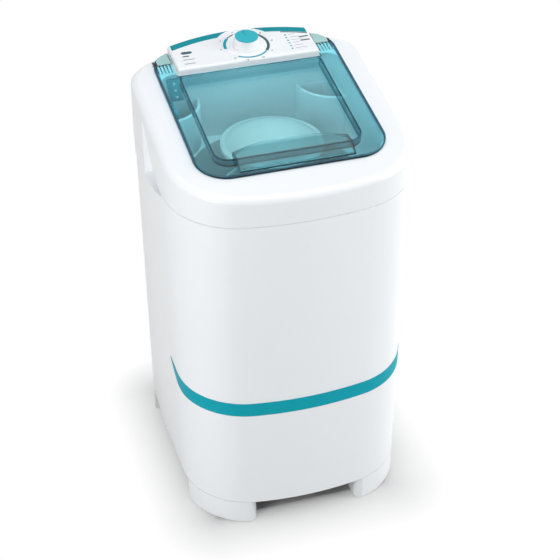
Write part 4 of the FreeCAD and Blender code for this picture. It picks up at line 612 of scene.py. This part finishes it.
SIDES = {-1: "left", 1: "right"}
BUTTON_SUNK = 0.2
BUTTON_PROUD = 0.8
LINER_ACROSS = (155.2, 191.0)
LINER_TURN = (-14.0, -112.0)
LINER_ROOM = 2.2
LINER_LEAST = 9.6
LINER_WALL = 1.2
ARM_ACROSS = (157.0, 185.4)
ARM_FRONT = 193.0
ARM_MARGIN = 0.7
ARM_PLATE = (-0.2, 0.2)


def filter_buttons():
    """Three white buttons in a row along the top of the lint filter."""
    low, high = (np.array(corner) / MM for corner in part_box("lint_filter"))
    middle = (low + high) / 2
    spots = middle[1] + (high[1] - low[1]) * np.array([-0.28, 0.0, 0.28])
    points, faces = gather([dot(middle[0], spot, 3.0, high[2] - BUTTON_SUNK, high[2] + BUTTON_PROUD)
                            for spot in spots])
    put("filter_buttons", points * MM, faces, WHITE, "filter", smooth=True)


def filter_guide():
    """The lint filter's teal guide on the tub's rear wall, above the left pocket, with three white buttons.

    A pillow over a leaning rectangle: it stands off the wall by its depth and falls to the wall in a steep
    curve at its edges.
    """
    wall = 168.7
    depth = 5.0
    sunk = 0.25
    half = 13.5
    middle = np.array([-156.0, 842.0])
    rise = np.array([-5.0, 26.0])
    share = np.sin(np.linspace(-np.pi / 2, np.pi / 2, 25))
    u, v = np.meshgrid(share, share, indexing="ij")
    swell = np.clip((1 - u ** 8) * (1 - v ** 8), 0, 1) ** 0.3
    across = middle[0] + half * u + rise[0] * v
    up = middle[1] + rise[1] * v
    over = np.stack([across, wall - depth * swell, up], -1)
    under = np.stack([across, np.full_like(up, wall + sunk), up], -1)
    points, faces = two_layers(over, under)
    put("filter_guide", points * MM, turned(faces), KNOB_TEAL, "machine", smooth=True)
    points, faces = gather([dot(*(middle + rise * step), 3.2, depth - BUTTON_SUNK, depth + BUTTON_PROUD)
                            for step in (-0.6, 0.0, 0.6)])
    on_wall = np.stack([points[:, 0], wall - points[:, 2], points[:, 1]], -1)
    put("guide_buttons", on_wall * MM, faces, WHITE, "machine", smooth=True)


def hinge_liner(side):
    """A curved white lining under one arm's tail.

    Its rows run across the arm. At each place across, it is an arc about the hinge that clears the tail's
    swing: the tail ends in a rounded corner, so the arc's radius falls towards the outside of the machine.
    """
    across = np.linspace(*LINER_ACROSS, 13)[:, None]
    turn = np.radians(np.linspace(*LINER_TURN, 17)) + LID_SLOPE
    radius = np.maximum(np.hypot(tail_end(across) - HINGE_BACK, HINGE_DROP) + LINER_ROOM, LINER_LEAST)
    layers = [np.stack([np.broadcast_to(side * across, (len(across), len(turn))),
                        lid_hinge[1] + reach * np.cos(turn), lid_hinge[2] + reach * np.sin(turn)], -1)
              for reach in (radius, radius + LINER_WALL)]
    points, faces = two_layers(*layers)
    put(f"hinge_liner_{SIDES[side]}", points * MM, turned(faces) if side > 0 else faces, WHITE, "machine",
        smooth=True)


def arm_end(side):
    """A pale plate on the end of one arm of the lid, from behind the vents to inside the rounded corner."""
    across = np.linspace(*ARM_ACROSS, 15)
    front = np.full(len(across), ARM_FRONT)
    rear = tail_end(across) - ARM_MARGIN
    points, faces = strip(np.c_[side * across, front], np.c_[side * across, rear], *ARM_PLATE)
    put(f"arm_end_{SIDES[side]}", on_lid(points), faces if side > 0 else turned(faces), ARM_END, "lid")


filter_buttons()
filter_guide()
for side in SIDES:
    hinge_liner(side)
    arm_end(side)


# Camera, floor and light

def photo_camera():
    """The camera that gives the photograph's viewing angle."""
    turn = Matrix(((0.9537, 0.1750, -0.2444), (-0.3006, 0.5553, -0.7753), (0.0, 0.8129, 0.5823)))
    lens = bpy.data.cameras.new("photo_camera")
    lens.sensor_width = 36.0
    lens.lens = 98.66
    lens.shift_x = 0.0101
    lens.shift_y = 0.0171
    camera = bpy.data.objects.new("photo_camera", lens)
    camera.matrix_world = Matrix.Translation((-0.8073, -2.5810, 2.3542)) @ turn.to_4x4()
    bpy.context.scene.collection.objects.link(camera)
    bpy.context.scene.camera = camera


def seen_rays(tree):
    """1 for rays that come from the camera, straight or by way of gloss or clear plastic."""
    path = tree.nodes.new("ShaderNodeLightPath")
    mirrored = work_out(tree, "MAXIMUM", path.outputs["Is Glossy Ray"], path.outputs["Is Transmission Ray"])
    return work_out(tree, "MAXIMUM", path.outputs["Is Camera Ray"], mirrored)


def floor_paint():
    """A pale matt paint that turns plain white with the distance from the machine's footprint."""
    footprint = (0.19, 0.225)
    fade = 0.14
    material, tree, shader = new_material("floor_paint")
    shader.inputs["Base Color"].default_value = (0.5, 0.5, 0.495, 1)
    shader.inputs["Specular IOR Level"].default_value = 0.0
    rough = spread(tree, noise(tree, scale=1.2, detail=2.0), 0.3, 0.7, to_low=0.85, to_high=0.95)
    tree.links.new(rough, shader.inputs["Roughness"])
    past = [work_out(tree, "SUBTRACT", work_out(tree, "ABSOLUTE", way), half)
            for way, half in zip(ground_axes(tree), footprint)]
    distance = diagonal(tree, *(work_out(tree, "MAXIMUM", way, 0.0) for way in past))
    away = work_out(tree, "POWER", spread(tree, distance, 0.0, fade), 0.55)
    glow = tree.nodes.new("ShaderNodeEmission")
    glow.inputs["Color"].default_value = (1, 1, 1, 1)
    blend_shaders(tree, work_out(tree, "MULTIPLY", away, seen_rays(tree)), shader.outputs["BSDF"],
                  glow.outputs["Emission"], "Material Output")
    return material


def studio_floor():
    """A round floor: a grid of radius and angle, flat at height 0."""
    radius = np.array([0.0, 1.0, 3.0, 6.0])
    angle = np.linspace(0, 2 * np.pi, 64, endpoint=False)
    r, a = np.meshgrid(radius, angle, indexing="ij")
    points = np.stack([r * np.cos(a), r * np.sin(a), np.zeros_like(r)], -1).reshape(-1, 3)
    index = np.arange(r.size).reshape(r.shape)
    ahead = np.roll(index, -1, axis=1)
    faces = np.stack([index[:-1], index[1:], ahead[1:], ahead[:-1]], -1).reshape(-1, 4)
    mesh = bpy.data.meshes.new("studio_floor")
    mesh.from_pydata(points.tolist(), [], faces.tolist())
    mesh.materials.append(floor_paint())
    floor = bpy.data.objects.new("studio_floor", mesh)
    bpy.context.scene.collection.objects.link(floor)


def studio_air():
    """A pale sky, dimmer in front and at the left: white where it is seen, softer where it lights."""
    world = bpy.data.worlds.new("studio_air")
    world.use_nodes = True
    tree = world.node_tree
    sky = tree.nodes["Background"]
    sky.inputs["Color"].default_value = (0.84, 0.92, 1.0, 1)
    across, back = ground_axes(tree, "Generated")
    front = spread(tree, back, -0.9, -0.4, to_low=0.05, to_high=0.36, smooth=True)
    left = spread(tree, across, -0.9, -0.2, to_low=0.30, to_high=1.0, smooth=True)
    tree.links.new(work_out(tree, "MULTIPLY", front, left), sky.inputs["Strength"])
    seen = tree.nodes.new("ShaderNodeBackground")
    seen.inputs["Color"].default_value = (1, 1, 1, 1)
    blend_shaders(tree, seen_rays(tree), sky.outputs["Background"], seen.outputs["Background"],
                  "World Output")
    bpy.context.scene.world = world


def soft_box(name, place, target, width, height, power):
    """A large soft lamp at a place, turned towards a target."""
    light = bpy.data.lights.new(name, "AREA")
    light.shape = "RECTANGLE"
    light.size = width
    light.size_y = height
    light.energy = power
    lamp = bpy.data.objects.new(name, light)
    way = Vector(target) - Vector(place)
    lamp.matrix_world = Matrix.Translation(place) @ way.to_track_quat("-Z", "Y").to_matrix().to_4x4()
    bpy.context.scene.collection.objects.link(lamp)


photo_camera()
studio_floor()
studio_air()
soft_box("top_light", (0.0, 0.0, 3.2), (0, 0, 0.8), width=2.6, height=2.6, power=38.0)
soft_box("right_light", (2.44, -0.92, 1.2), (0, 0, 0.5), width=1.0, height=2.4, power=60.0)
soft_box("left_light", (-1.95, -1.55, 1.2), (0, 0, 0.5), width=0.9, height=2.4, power=45.0)
bpy.context.scene.view_settings.view_transform = "Standard"
